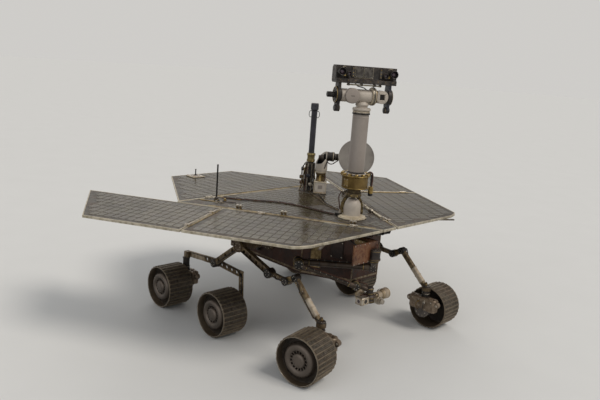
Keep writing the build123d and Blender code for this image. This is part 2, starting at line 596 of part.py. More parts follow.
def arm_frame():
    """Unit vectors along the stowed upper arm, from shoulder to elbow, and across it."""
    d = Vector(ELBOW[0] - SHOULDER[0], ELBOW[1] - SHOULDER[1], 0).normalized()
    return (d.X, d.Y, 0.0), (-d.Y, d.X, 0.0)


def build_arm():
    along, across = arm_frame()
    sx, sy, sz = SHOULDER
    nose = BODY_FRONT_X + SEAT_GAP
    base, top, out, wall = SHOULDER_TURN_Z, SHOULDER_TURN_Z + MOUNT_H, sy + MOUNT_OUT, 9
    back, inner = sx - MOUNT_T + 1, sy - MOUNT_OUT - 8
    mount = box(sx - MOUNT_T, sx, sy - MOUNT_IN, out, base - 7, top)
    mount += [box(nose, back, out - wall, out, base + MOUNT_T, top),
              box(nose, back, inner, inner + wall, base + MOUNT_T, top),
              box(nose, back, inner, out, top - wall + 1, top)]
    mount += rod((sx + 8, sy, base), (sx + 8, sy, base + MOUNT_H * 0.6), SHOULDER_R + 1)
    mount -= box(sx - MOUNT_T - 1, sx + 1, inner + 2, out + 1, base - 20, base)
    save("arm_mount", mount)

    top = SHOULDER_TURN_Z - FACE_GAP
    clevis = rod((sx, sy, top - 14), (sx, sy, top), SHOULDER_R, 12)
    shaft = rod(moved(SHOULDER, across, -EAR_OUT), moved(SHOULDER, across, EAR_OUT), 9, 8)
    ears = []
    for s in (-1, 1):
        a, b = moved(SHOULDER, across, s * EAR_IN), moved(SHOULDER, across, s * EAR_OUT)
        middle = moved(SHOULDER, across, s * (EAR_IN + EAR_OUT) / 2)
        ears += [rod(a, b, ARM_R - 2)]
        ears += [beam(middle, (middle[0], middle[1], top - 6), 30, EAR_OUT - EAR_IN, across)]
    save("arm_shoulder", clevis + shaft + ears)

    hub = rod(moved(SHOULDER, across, -HUB_HALF), moved(SHOULDER, across, HUB_HALF), ARM_R)
    hub -= rod(moved(SHOULDER, across, -EAR_OUT), moved(SHOULDER, across, EAR_OUT), 10.2, 8)
    tube = rod(moved(SHOULDER, along, 14), ELBOW, ARM_R)
    upper = hub + tube + rod(moved(ELBOW, across, 2 - FORE_IN), moved(ELBOW, across, FORE_IN), ELBOW_R)
    save("arm_upper", upper)

    e1, w1 = moved(ELBOW, across, FORE_SIDE), moved(WRIST, across, FORE_SIDE)
    near = FORE_IN + FACE_GAP
    fore = rod(moved(ELBOW, across, near), moved(ELBOW, across, FORE_OUT), ELBOW_R) + rod(e1, w1, FORE_R)
    fore += rod(moved(WRIST, across, near), moved(WRIST, across, FORE_OUT - 2), WRIST_R)
    save("arm_fore", fore)

    wrist = rod(moved(WRIST, across, -14), moved(WRIST, across, FORE_IN), WRIST_R)
    wrist += rod(WRIST, moved(TURRET, (0, 0, 1), 6), 13)
    wrist += Pos(*TURRET) * turned([(WRIST_R, -12), (WRIST_R, 22), (14, 26)], 12)
    save("arm_wrist", wrist)
    save("arm_turret", turret())


def turret():
    """Turret below the wrist, with an instrument on each of its four sides."""
    x, y = TURRET[0], TURRET[1]
    top = TURRET[2] - 12 - FACE_GAP
    low, z, r = top - TURRET_H, top - TURRET_H / 2, TURRET_R
    core = Pos(x, y, 0) * turned([(r * 0.7, low), (r, low + 8), (r, top - 8), (r * 0.65, top)], 12)
    mouth, end = y + CUP_L - 2, y + CUP_L + CUP_LIP_L - 2
    cup = rod((x, y + 24, z), (x, mouth + 2, z), CUP_R) + rod((x, mouth, z), (x, end, z), CUP_LIP_R)
    cup -= rod((x, mouth + CUP_LIP_L / 2, z), (x, end + 1, z), CUP_R)
    aside, tip = y + 14, x + GRINDER_L
    grinder = rod((x + 24, aside, z), (tip, aside, z), GRINDER_R, 8)
    grinder += rod((tip - 2, aside, z), (tip + TIP_L - 2, aside, z), TIP_R, 8)
    half = LENS_BOX_HALF
    lens_box = box(x - half - 4, x + half + 2, y - LENS_BOX_L, y - LENS_BOX_IN, z - half, z + half)
    far = x - CAN_ARM_L
    can = rod((x - 24, y, z), (far, y, z), CAN_ARM_R, 8)
    can += rod((far + 2, y, z), (far + 2 - CAN_CAP_L, y, z), CAN_CAP_R)
    return core + cup + grinder + lens_box + can


# Small pieces on the deck and below its ends

def build_details():
    top = DECK_TOP - DECK_T - SEAT_GAP
    nose = BODY_FRONT_X + SEAT_GAP
    cams = box(nose, nose + 60, 0, 92, top - 46, top - 6)
    cams += [rod((nose + 58, y, top - 26), (nose + 78, y, top - 26), 12) for y in (20, 72)]
    save("hazard_cameras_front", cams)
    tail = BODY_REAR_X - SEAT_GAP
    back = box(tail - 60, tail, -50, 50, top - 46, top - 6)
    back += [rod((tail - 78, y, top - 26), (tail - 58, y, top - 26), 12) for y in (-28, 28)]
    save("hazard_cameras_rear", back)
    x, y, half = REAR_PANEL_X + TARGET_FROM_REAR, TARGET_Y, TARGET_HALF
    z = DECK_TOP + SEAT_GAP
    dial = box(x - half, x + half, y - half, y + half, z, z + 7)
    dial += Pos(x, y, z) * turned([(30, 6), (30, 10), (14, 12), (4, 24), (4, 50)], 12)
    save("calibration_target", dial)


build_wheels()
build_suspension()
build_deck()
build_body()
build_mast()
build_antennas()
build_arm()
build_details()
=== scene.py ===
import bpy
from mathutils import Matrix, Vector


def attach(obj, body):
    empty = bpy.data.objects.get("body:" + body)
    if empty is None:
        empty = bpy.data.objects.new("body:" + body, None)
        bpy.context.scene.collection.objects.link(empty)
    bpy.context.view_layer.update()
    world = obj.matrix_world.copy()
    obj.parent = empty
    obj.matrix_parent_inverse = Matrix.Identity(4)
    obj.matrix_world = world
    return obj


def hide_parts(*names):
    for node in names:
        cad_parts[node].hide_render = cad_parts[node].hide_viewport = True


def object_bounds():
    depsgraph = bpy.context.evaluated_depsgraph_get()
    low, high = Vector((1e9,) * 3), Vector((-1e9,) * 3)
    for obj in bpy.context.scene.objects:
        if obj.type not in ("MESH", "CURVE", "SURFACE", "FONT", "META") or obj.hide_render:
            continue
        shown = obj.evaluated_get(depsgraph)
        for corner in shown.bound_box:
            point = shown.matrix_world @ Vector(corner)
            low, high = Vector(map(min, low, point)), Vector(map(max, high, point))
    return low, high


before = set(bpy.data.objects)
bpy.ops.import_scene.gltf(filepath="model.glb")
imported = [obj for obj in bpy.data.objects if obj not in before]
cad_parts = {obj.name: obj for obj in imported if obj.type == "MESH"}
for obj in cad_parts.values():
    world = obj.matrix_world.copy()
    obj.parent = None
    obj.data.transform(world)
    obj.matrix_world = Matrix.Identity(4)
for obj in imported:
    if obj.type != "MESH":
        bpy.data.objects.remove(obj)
CAD_BOX = [list(v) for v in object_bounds()]

from itertools import product
from math import cos, pi, radians, sin, tan

import bmesh
import bpy
from mathutils import Matrix, Vector, noise

# Wheels. Each is machined from one block of aluminium: a drum with 32 cleats and small pads between them,
# and a slotted outer face let in behind the rim that bulges like a dish round its domed hub.
# All measures are in millimetres from the ground below the middle axle; BASE shifts them into the frame.

BASE = 97.5695
WHEEL_R, DRUM_R, HALF_W = 121.0, 117.0, 78.0
TRACK_HALF, FRONT_AXLE, REAR_AXLE, KINGPIN = 540.0, 612.0, -495.0, 108.0
CLEATS, SLOTS = 32, 16
RIGHT, LEFT = -1, 1
AHEAD, ASIDE, OUTWARD, UPRIGHT, CENTRE = (1, 0, 0), (0, 1, 0), (0, -1, 0), (0, 0, 1), (0, 0, 0)


def at(p):
    """Rover millimetres to metres in the shared frame."""
    return Vector(((p[0] + BASE) / 1000, p[1] / 1000, p[2] / 1000))


def yaw(angle):
    """Turn in degrees about the upright."""
    return Matrix.Rotation(radians(angle), 4, "Z")


def spin(angle, about):
    """Turn in degrees about a vertical line, for pieces drawn before they are turned as parked."""
    c = Vector((about[0], about[1], 0))
    return Matrix.Translation(c) @ yaw(angle) @ Matrix.Translation(-c)


def square_to(axis):
    """Two directions square to an axis, and the axis itself."""
    z = Vector(axis).normalized()
    x = z.orthogonal().normalized() if abs(z.z) < 0.99 else Vector(AHEAD)
    return x, z.cross(x), z


def stand(name, mesh, body, node, world=None):
    """Puts a mesh in the scene as a piece that rides on a body and replaces a CAD node."""
    piece = bpy.data.objects.new(name, mesh)
    bpy.context.scene.collection.objects.link(piece)
    if world:
        piece.matrix_world = world
    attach(piece, body)
    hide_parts(node)


class Shape:
    """Collects solids, each with its finish, and turns them into one piece."""

    def __init__(self, place=Matrix.Identity(4)):
        self.bm, self.mats, self.place = bmesh.new(), [], place

    def vert(self, p):
        return self.bm.verts.new(at(self.place @ Vector(p)))

    def face(self, loop, mat):
        if mat not in self.mats:
            self.mats.append(mat)
        self.bm.faces.new(loop).material_index = self.mats.index(mat)

    def skin(self, loops, mat, closed=False, caps=True):
        """Skin over loops of points that have the same count; caps close both ends."""
        rows = [[self.vert(p) for p in loop] for loop in loops]
        n = len(rows[0])
        for a, b in list(zip(rows, rows[1:])) + ([(rows[-1], rows[0])] if closed else []):
            for i in range(n):
                j = (i + 1) % n
                self.face([a[i], a[j], b[j], b[i]], mat)
        if caps and not closed:
            self.face(rows[0][::-1], mat)
            self.face(rows[-1], mat)

    def lathe(self, origin, axis, rings, mat, n=40, closed=False, caps=True):
        """Turned piece: rings of (radius, height along the axis)."""
        o, (x, y, z) = Vector(origin), square_to(axis)
        turns = [2 * pi * i / n for i in range(n)]
        loops = [[o + z * h + x * (r * cos(a)) + y * (r * sin(a)) for a in turns] for r, h in rings]
        self.skin(loops, mat, closed, caps)

    def ring(self, centre, axis, r, wire, mat, n=40, m=8):
        """Bead, clamp or seal round an axis."""
        turns = [2 * pi * k / m for k in range(m)]
        self.lathe(centre, axis, [(r + wire * cos(a), wire * sin(a)) for a in turns], mat, n, closed=True)

    def bolt(self, p, axis, r, mat, high=None):
        """Hexagon head on a washer."""
        h = high or r * 0.8
        self.lathe(p, axis, [(r * 1.35, 0), (r * 1.35, h * 0.3)], mat, 14)
        self.lathe(p, axis, [(r, h * 0.2), (r, h * 0.85), (r * 0.8, h)], mat, 6)

    def bolts(self, centre, axis, ring_r, count, r, mat, start=0.0):
        """Bolt circle."""
        x, y, _ = square_to(axis)
        for i in range(count):
            a = start + 2 * pi * i / count
            self.bolt(Vector(centre) + x * ring_r * cos(a) + y * ring_r * sin(a), axis, r, mat)

    def done(self, name, body, node, sharp=35, world=None):
        """Makes the piece and returns its mesh."""
        bmesh.ops.remove_doubles(self.bm, verts=self.bm.verts, dist=1e-7)
        bmesh.ops.recalc_face_normals(self.bm, faces=self.bm.faces)
        mesh = bpy.data.meshes.new(name)
        self.bm.to_mesh(mesh)
        self.bm.free()
        for m in self.mats:
            mesh.materials.append(m)
        mesh.shade_smooth()
        mesh.set_sharp_from_angle(angle=radians(sharp))
        stand(name, mesh, body, node, world)
        return mesh


def linear(h):
    """Colour written as six hexadecimal digits."""
    parts = [int(h[i:i + 2], 16) / 255 for i in (0, 2, 4)]
    return tuple(c / 12.92 if c <= 0.04045 else ((c + 0.055) / 1.055) ** 2.4 for c in parts) + (1.0,)


DUST = linear("8a5a35")


class Finish:
    """Nodes of one finish on a machine that has been driven."""

    def __init__(self, name):
        self.mat = bpy.data.materials.new(name)
        self.mat.use_nodes = True
        self.tree = self.mat.node_tree
        self.bsdf = self.tree.nodes["Principled BSDF"]
        self.co = self.node("ShaderNodeTexCoord")

    def node(self, kind, **values):
        n = self.tree.nodes.new(kind)
        for k, v in values.items():
            setattr(n, k, v)
        return n

    def link(self, a, b):
        self.tree.links.new(a, b)

    def put(self, socket, value):
        if hasattr(value, "links"):
            self.link(value, socket)
        else:
            socket.default_value = value

    def math(self, op, a, b):
        n = self.node("ShaderNodeMath", operation=op)
        self.put(n.inputs[0], a)
        self.put(n.inputs[1], b)
        return n.outputs[0]

    def noise(self, scale, detail=4.0, rough=0.55, distort=0.0):
        n = self.node("ShaderNodeTexNoise")
        self.link(self.co.outputs["Object"], n.inputs["Vector"])
        for k, v in (("Scale", scale), ("Detail", detail), ("Roughness", rough), ("Distortion", distort)):
            n.inputs[k].default_value = v
        return n.outputs["Fac"]

    def band(self, value, low, high, out_low=0.0, out_high=1.0):
        """Smooth step of a value from low to high."""
        n = self.node("ShaderNodeMapRange", interpolation_type="SMOOTHSTEP")
        self.put(n.inputs["Value"], value)
        for k, v in (("From Min", low), ("From Max", high), ("To Min", out_low), ("To Max", out_high)):
            n.inputs[k].default_value = v
        return n.outputs["Result"]

    def both(self, a, share, b):
        """Two patterns added up, the first with its share."""
        first = self.math("MULTIPLY", a, share)
        return self.math("ADD", first, self.math("MULTIPLY", b, 1 - share))

    def mix(self, fac, a, b):
        n = self.node("ShaderNodeMix", data_type="RGBA")
        for k, v in ((0, fac), (6, a), (7, b)):
            self.put(n.inputs[k], v)
        return n.outputs[2]

    def tint(self, colour, where, amount, over):
        return self.mix(self.math("MULTIPLY", where, amount), colour, over)

    def bump(self, height, strength, distance, under=None):
        n = self.node("ShaderNodeBump")
        n.inputs["Strength"].default_value = strength
        n.inputs["Distance"].default_value = distance
        self.link(height, n.inputs["Height"])
        if under:
            self.link(under, n.inputs["Normal"])
        return n.outputs["Normal"]

    def dusty(self, colour, amount):
        """Veil of rust-coloured dust where a face looks up."""
        s = self.node("ShaderNodeSeparateXYZ")
        self.link(self.co.outputs["Normal"], s.inputs[0])
        up = self.band(s.outputs[2], 0.15, 0.95)
        return self.tint(colour, self.math("MULTIPLY", up, self.band(self.noise(14, 6, 0.65), 0.35, 0.75)),
                         amount, DUST)

    def worn(self, colour, bright, amount):
        """Bare metal on edges that have been rubbed."""
        g = self.node("ShaderNodeNewGeometry")
        edge = self.band(g.outputs["Pointiness"], 0.53, 0.62)
        rubbed = self.math("MULTIPLY", edge, self.band(self.noise(60, 3), 0.35, 0.65))
        return self.tint(colour, rubbed, amount, bright)

    def made(self, colour, rough, metal=0.0, normal=None, coat=0.0):
        self.put(self.bsdf.inputs["Base Color"], colour)
        self.put(self.bsdf.inputs["Roughness"], rough)
        self.bsdf.inputs["Metallic"].default_value = metal
        self.bsdf.inputs["Coat Weight"].default_value = coat
        if normal:
            self.link(normal, self.bsdf.inputs["Normal"])
        return self.mat


def metal(name, dark, light, rough=(0.35, 0.55), metallic=0.8, patch=22, grain=420, relief=0.12, dust=0.35,
          wear=0.4, bright="c9c2b4"):
    """Machined, cast or painted metal: uneven tone, a fine grain in gloss and relief, dust and worn edges."""
    g = Finish(name)
    broad, fine = g.noise(patch, 5, 0.6), g.noise(grain, 3, 0.6)
    colour = g.mix(g.band(broad, 0.32, 0.68), linear(dark), linear(light))
    colour = g.tint(colour, g.band(fine, 0.4, 0.75), 0.25, linear(dark))
    colour = g.dusty(g.worn(colour, linear(bright), wear), dust)
    gloss = g.band(g.both(fine, 0.6, broad), 0.35, 0.65, *rough)
    return g.made(colour, gloss, metallic, g.bump(fine, relief, 0.0006))


WHEEL = metal("wheel_aluminium", "574c3e", "6e6253", (0.38, 0.56), 0.5, 8, 700, 0.2, 0.1, 0.25, "958970")
FACE = metal("wheel_face", "4a423b", "5d544c", (0.3, 0.45), 0.6, 6, 500, 0.1, 0.1, 0.2, "8d8378")
# Tread floor: a near-black copy of the wheel's aluminium, painted shade between the cleats and pads.
TREAD_FLOOR_SHADE = metal("tread_floor_painted_shade", "1a140d", "2a2218", (0.5, 0.75), 0.35, 18, 600, 0.25, 0.12, 0.1)
TREAD_RIB = metal("tread_rib", "453b2e", "574b3c", (0.45, 0.65), 0.4, 18, 600, 0.2, 0.12, 0.1)
# Painted shade: a dark copy of the wheel's aluminium for the sunk ring behind the rim, the slot walls and the
# face's back.
WHEEL_RECESS_SHADE = metal("wheel_recess_painted_shade", "1d1711", "30271d", (0.5, 0.8), 0.3, 30, 500, 0.2, 0.1, 0.1)
SILVER = metal("machined_silver", "857d72", "b5ada0", (0.25, 0.5), 0.85, 35, 600, 0.1, 0.15, 0.4)
BLACK = metal("black_anodised", "0b0a09", "1b1816", (0.3, 0.55), 0.35, 30, 500, 0.12, 0.12, 0.3, "5d564d")


def on_drum(r, a, h):
    """Point at radius r and angle a of the drum, h outwards from its middle."""
    return (r * cos(a), -h, r * sin(a))


def pad(s, a, width, h0, h1, r0, r1, mat, taper=0.7):
    """Raised block on the drum at angle a, from h0 to h1 across the tread."""
    slope = (r1 - r0) * 0.5
    ends = (r0, width / 2, h0, h1), (r1, width / 2 * taper, h0 + slope, h1 - slope)
    rows = [[on_drum(r, a + e * half / r, h) for e, h in ((-1, low), (1, low), (1, high), (-1, high))] for r,
            half, low, high in ends]
    s.skin(rows, mat)


def wheel_face(s, n=96):
    """Outer face with its hub, the slots round it and the hollow back; n steps go round it. The sunk ring
    behind the rim, the slot walls, the slot floors and the back are painted shade.
    """
    rings = [(0.5, 74), (12, 73.8), (20, 73), (27, 71.4), (31.6, 69), (34.6, 65.4), (36, 60.5), (46, 63),
             (49, 66.5), (54, 69.6), (60, 71.4), (66, 71), (72, 68.6), (77, 64), (80.4, 57), (83, 47),
             (86, 40.8), (91, 38.4), (112.4, 38), (112.4, 34), (30, 34), (30, -10), (27, -10), (27, 26),
             (0.5, 26)]
    slot_row, back_row, slot_floor, wide = 6, 16, 48, n // SLOTS
    rows = [[s.vert(on_drum(r, 2 * pi * i / n, h)) for i in range(n)] for r, h in rings]
    for k, (a, b) in enumerate(zip(rows, rows[1:])):
        for i in range(n):
            if k != slot_row or i % wide in (0, wide - 1):
                j = (i + 1) % n
                s.face([a[i], a[j], b[j], b[i]], FACE if k < back_row else WHEEL_RECESS_SHADE)
    s.face(rows[0][::-1], FACE)
    s.face(rows[-1], WHEEL_RECESS_SHADE)
    # Slot floors in black and slot walls in the dark copy: painted shade in the slots.
    for slot in range(SLOTS):
        span = [(wide * slot + 1 + i) % n for i in range(wide - 1)]
        floor = [[s.vert(on_drum(r, 2 * pi * i / n, slot_floor)) for i in span] for r in (36, 46)]
        top = [[row[i] for i in span] for row in rows[slot_row:slot_row + 2]]
        for i in range(wide - 2):
            s.face([floor[0][i], floor[0][i + 1], floor[1][i + 1], floor[1][i]], BLACK)
            for e in (0, 1):
                s.face([top[e][i], top[e][i + 1], floor[e][i + 1], floor[e][i]], WHEEL_RECESS_SHADE)
        for e in (0, wide - 2):
            s.face([top[0][e], top[1][e], floor[1][e], floor[0][e]], WHEEL_RECESS_SHADE)


def wheel_shape():
    """Drum with its face, tread, cleats and pads."""
    s = Shape(Matrix.Translation((-BASE, 0, 0)))
    drum = [(113, -77.4), (115.5, -78), (117.6, -76.6), (DRUM_R, -73), (DRUM_R, 73), (117.8, 76.2),
            (116.2, 78), (113.4, 77.4), (112.2, 74), (112, 40), (112, -74)]
    s.lathe(CENTRE, OUTWARD, drum, WHEEL, 96, closed=True)
    # The tread floor between the cleats and pads is in painted shade.
    tread = [(DRUM_R - 3, -72.4), (DRUM_R + 0.15, -72), (DRUM_R + 0.15, 72), (DRUM_R - 3, 72.4)]
    s.lathe(CENTRE, OUTWARD, tread, TREAD_FLOOR_SHADE, 96, caps=False)
    wheel_face(s)
    for i in range(CLEATS):
        a = 2 * pi * i / CLEATS
        pad(s, a, 7.2, -75.5, 75.5, DRUM_R - 0.5, WHEEL_R, WHEEL, 0.66)
        for third in (1, 2):
            b, wide = a + 2 * pi * third / (3 * CLEATS), 4.2
            pad(s, b, wide, -73, 18, DRUM_R - 0.4, DRUM_R + 1.5, TREAD_RIB)
            for k in range(8):
                h = 25 + k * 6.6
                pad(s, b, wide, h - wide / 2, h + wide / 2, DRUM_R - 0.4, DRUM_R + 1.6, TREAD_RIB)
    # Thin silver bead along the rim's outer edge: a painted highlight.
    s.ring((0, -77, 0), OUTWARD, 113.8, 0.9, SILVER, 96, 6)
    s.bolts((0, -72.6, 0), OUTWARD, 21, 6, 2.2, FACE)
    return s


# name, side, axle and degrees turned to the left as parked; the middle wheels don't steer
WHEELS = [("front_right", RIGHT, FRONT_AXLE, 10.5), ("front_left", LEFT, FRONT_AXLE, 2.0),
          ("middle_right", RIGHT, 0.0, None), ("middle_left", LEFT, 0.0, None),
          ("rear_right", RIGHT, REAR_AXLE, 0.0), ("rear_left", LEFT, REAR_AXLE, 0.0)]


def parked(side, axle, turn):
    """From a wheel's own frame to the rover's, turned as parked about its kingpin."""
    pin, hub = (axle, side * (TRACK_HALF - KINGPIN)), (axle, side * TRACK_HALF, WHEEL_R)
    return spin(turn or 0.0, pin) @ Matrix.Translation(hub)


shared = None
for name, side, axle, turn in WHEELS:
    place = Matrix.Translation(at(parked(side, axle, turn) @ Vector(CENTRE))) @ yaw(turn or 0.0)
    if side == LEFT:
        place = place @ yaw(180)
    row = "wheel_" + name, "wheel_" + name
    if shared is None:
        shared = wheel_shape().done("wheel_look_" + name, *row, sharp=30, world=place)
    else:
        stand("wheel_look_" + name, shared, *row, place)


# Knuckles. A wide machined bracket with rounded lugs and capped screws hangs below each steering actuator;
# it holds the wheel's motor, the round cover of its gearbox, and two plugs with the loom to the motor.

STEER_FOOT = 91.0
MIRROR = Matrix.Diagonal((1, -1, 1, 1))
CHARCOAL = metal("dark_anodised", "1e1916", "332c27", (0.35, 0.6), 0.35, 26, 420, 0.12, 0.15, 0.4, "7d7468")
BRONZE = metal("gold_alodine", "463820", "756140", (0.3, 0.5), 0.75, 26, 500, 0.12, 0.12, 0.4, "b09c72")
SADDLE = metal("knuckle_alodine", "574a3c", "6b5c4c", (0.38, 0.55), 0.45, 8, 420, 0.1, 0.12, 0.4, "9c8c78")
COVER = metal("cover_grey", "47423e", "57514c", (0.38, 0.52), 0.4, 8, 400, 0.08, 0.12, 0.3, "8d857c")


def anticlockwise(outline):
    """Outline as points that run anticlockwise."""
    pts = [Vector(p) for p in outline]
    area = sum(p.x * q.y - q.x * p.y for p, q in zip(pts, pts[1:] + pts[:1]))
    return pts[::-1] if area < 0 else pts


def inset(pts, d):
    """Anticlockwise outline let in by d, its corners mitred."""
    out = []
    for i, p in enumerate(pts):
        a, b = (p - pts[i - 1]).normalized(), (pts[(i + 1) % len(pts)] - p).normalized()
        m = Vector((-a.y, a.x)) + Vector((-b.y, b.x))
        out.append(p + m / max(m.length_squared / 2, 0.2) * d)
    return out


def prism(s, outline, plane, low, high, mat, soft=1.0):
    """Plate with chamfered edges: plane is (origin, x direction, y direction)."""
    o, x, y = (Vector(v) for v in plane)
    z, pts, cut = x.cross(y).normalized(), anticlockwise(outline), min(soft, (high - low) * 0.4)
    rows = [(inset(pts, cut), low), (pts, low + cut), (pts, high - cut), (inset(pts, cut), high)]
    s.skin([[o + x * p.x + y * p.y + z * h for p in row] for row, h in rows], mat)


def tube(s, points, r, mat, n=10):
    """Cable or pipe along a smooth line through the points."""
    pts = [Vector(p) for p in points]
    line, last = [], len(pts) - 1
    for i, t in product(range(last), [k / 6 for k in range(6)]):
        p0, p1, p2, p3 = pts[max(i - 1, 0)], pts[i], pts[i + 1], pts[min(i + 2, last)]
        line.append(0.5 * ((2 * p1) + (p2 - p0) * t + (2 * p0 - 5 * p1 + 4 * p2 - p3) * t * t
                           + (3 * p1 - p0 - 3 * p2 + p3) * t ** 3))
    line.append(pts[-1])
    up, loops = None, []
    for i, p in enumerate(line):
        d = (line[min(i + 1, len(line) - 1)] - line[max(i - 1, 0)]).normalized()
        up = d.orthogonal().normalized() if up is None else (up - d * up.dot(d)).normalized()
        turns = [2 * pi * k / n for k in range(n)]
        loops.append([p + up * (r * cos(a)) + d.cross(up) * (r * sin(a)) for a in turns])
    s.skin(loops, mat)


def screws(s, xs, ys, zs, axis, r, mat):
    """Screws at every meeting of the given x, y and z."""
    for p in product(xs, ys, zs):
        s.bolt(p, axis, r, mat)


def wheel_drive(s, reach):
    """Motor inside the drum and gearbox inboard of it, in a wheel's own frame."""
    s.lathe((0, -9.7, 0), ASIDE, [(20, 0), (26, 1), (27, 3), (27, 60), (25, 62), (25, 90)], CHARCOAL, 40)
    g = HALF_W + 6
    s.lathe((0, g, 0), ASIDE, [(31, 0), (34, 2), (34, reach - 10), (31.5, reach - 8), (31.5, reach - 5),
                               (29, reach - 2.5), (12, reach - 2), (11, reach + 1), (4, reach + 2)], CHARCOAL,
            48)
    s.ring((0, g + reach * 0.4, 0), ASIDE, 34, 1.4, SILVER, 48)
    s.bolts((0, g + reach - 3.5, 0), ASIDE, 21.5, 8, 2.4, SILVER)


def knuckle(s):
    """Bracket, lugs, capped screws and drive of a steered wheel, in the wheel's own frame."""
    k, top = KINGPIN, STEER_FOOT - 0.3
    reach, low, high = 84, 2, 76
    s.lathe((0, k, high - 1), UPRIGHT, [(24, 0), (26, 1.5), (26, 5), (21.5, 6), (21.5, top - high + 1)],
            BLACK, 40)
    ends = [(-reach + 9, 0), (reach - 9, 0), (reach, 9), (reach, 37), (reach - 11, 48), (11 - reach, 48),
            (-reach, 37), (-reach, 9)]
    prism(s, [(x, y + k - 10) for x, y in ends], (CENTRE, AHEAD, ASIDE), low, high, SADDLE, 5)
    for e in (-1, 1):
        turns = [radians(30 * i - 90) for i in range(7)]
        lug = [(e * 60, 34)] + [(e * (87 + 17 * cos(a)), 51 + 17 * sin(a)) for a in turns] + [(e * 60, 68)]
        prism(s, lug, ((0, k + 30, 0), AHEAD, UPRIGHT), 0, 26, SADDLE, 3)
        s.bolt((e * 91, k + 4.4, 51), OUTWARD, 5, SILVER)
        s.bolt((e * 91, k + 29.6, 51), ASIDE, 5, SILVER)
    for x, y in ((-71, k + 14), (-40, k + 20), (40, k + 20), (71, k + 14)):
        s.lathe((x, y, high - 0.6), UPRIGHT, [(12, 0), (12, 3), (10, 4), (10, 6), (4, 6.6)], SADDLE, 28)
        s.bolt((x, y, high + 5.4), UPRIGHT, 2.6, SILVER, 1.6)
    screws(s, (-60, -20, 20, 60), (k + 37.6,), (62,), ASIDE, 2.8, SILVER)
    screws(s, (-60, -20, 20, 60), (k - 9.6,), (62,), OUTWARD, 2.8, SILVER)
    s.lathe((0, k - 10, 0), ASIDE, [(38, 0), (42, 2), (42, 38), (40, 41), (40, 44), (37, 46), (14, 47),
                                    (13, 50), (4, 50.6)], COVER, 56)
    s.ring((0, k + 24, 0), ASIDE, 42, 1.3, SILVER, 56, 6)
    s.bolts((0, k + 36, 0), ASIDE, 30, 8, 2.6, SILVER, 0.3)
    s.lathe((18, k + 38, 52), ASIDE, [(8, -1), (8, 7), (6, 9), (2, 9.5)], SILVER, 24)
    s.lathe((-18, k + 38, 52), ASIDE, [(6, -1), (6, 9), (4.5, 10), (2, 10)], BRONZE, 24)
    tube(s, [(18, k + 46, 52), (22, k + 54, 44), (20, k + 54, 24), (12, k + 44, 8)], 2.6, BLACK)
    tube(s, [(-18, k + 47, 52), (-23, k + 55, 42), (-21, k + 54, 18), (-12, k + 44, 2)], 2.2, BRONZE)
    wheel_drive(s, k - HALF_W - 18)


for name, side, axle, turn in WHEELS:
    if turn is not None:
        s = Shape(parked(side, axle, turn) @ (MIRROR if side == LEFT else Matrix.Identity(4)))
        knuckle(s)
        s.done("knuckle_look_" + name, "knuckle_" + name, "knuckle_" + name)


# Rockers and bogies. On each side a rocker of machined beams is let out at the front by a folding strut, and
# a bogie of two beams hangs below its tail. Round holes lighten them, and harnesses are tied along them.

ARM_Y = -(TRACK_HALF - KINGPIN)
PIVOT, JOINT, CROSS_TURN, STRUT_TOP, BOGIE_PIVOT = (-12, 465), (234, 388), (361, 383), (422, 417), (-220, 312)
BOGIE_NOSE, BOGIE_TAIL_Z, SHAFT_R = (-14, 302), 288, 26
BROWN = metal("brown_alodine", "302417", "584834", (0.4, 0.6), 0.55, 22, 500, 0.15, 0.12, 0.5, "9c8a6a")
BEIGE = metal("anodised_beige", "75664f", "94826a", (0.35, 0.6), 0.5, 24, 500, 0.12, 0.15, 0.4)
PALE = metal("pale_sleeve", "8c7d6a", "a89a86", (0.4, 0.6), 0.3, 24, 400, 0.1, 0.12, 0.3)
GOLD = metal("gold_plate", "776233", "a48b55", (0.25, 0.45), 0.85, 30, 500, 0.1, 0.12, 0.3, "cdb98a")


def rounded(a, b, cut):
    """Rectangle of half sizes a and b with its corners cut."""
    return [(-a + cut, -b), (a - cut, -b), (a, -b + cut), (a, b - cut), (a - cut, b), (-a + cut, b),
            (-a, b - cut), (-a, -b + cut)]


def box(s, lo, hi, mat, soft=1.2):
    """Block with softened edges, square to the machine."""
    (x0, y0, z0), (x1, y1, z1) = lo, hi
    a, b = abs(x1 - x0) / 2, abs(y1 - y0) / 2
    middle = ((x0 + x1) / 2, (y0 + y1) / 2, 0)
    prism(s, rounded(a, b, min(soft, a * 0.5, b * 0.5)), (middle, AHEAD, ASIDE), z0, z1, mat, soft)


def beam(s, p, q, deep, wide, mat, side=ASIDE, soft=1.6):
    """Square bar from p to q: wide along side, deep across it."""
    p, run, x = Vector(p), Vector(q) - Vector(p), Vector(side).normalized()
    y = run.normalized().cross(x).normalized()
    prism(s, rounded(wide / 2, deep / 2, soft), (p, x, y), 0, run.length, mat, soft)


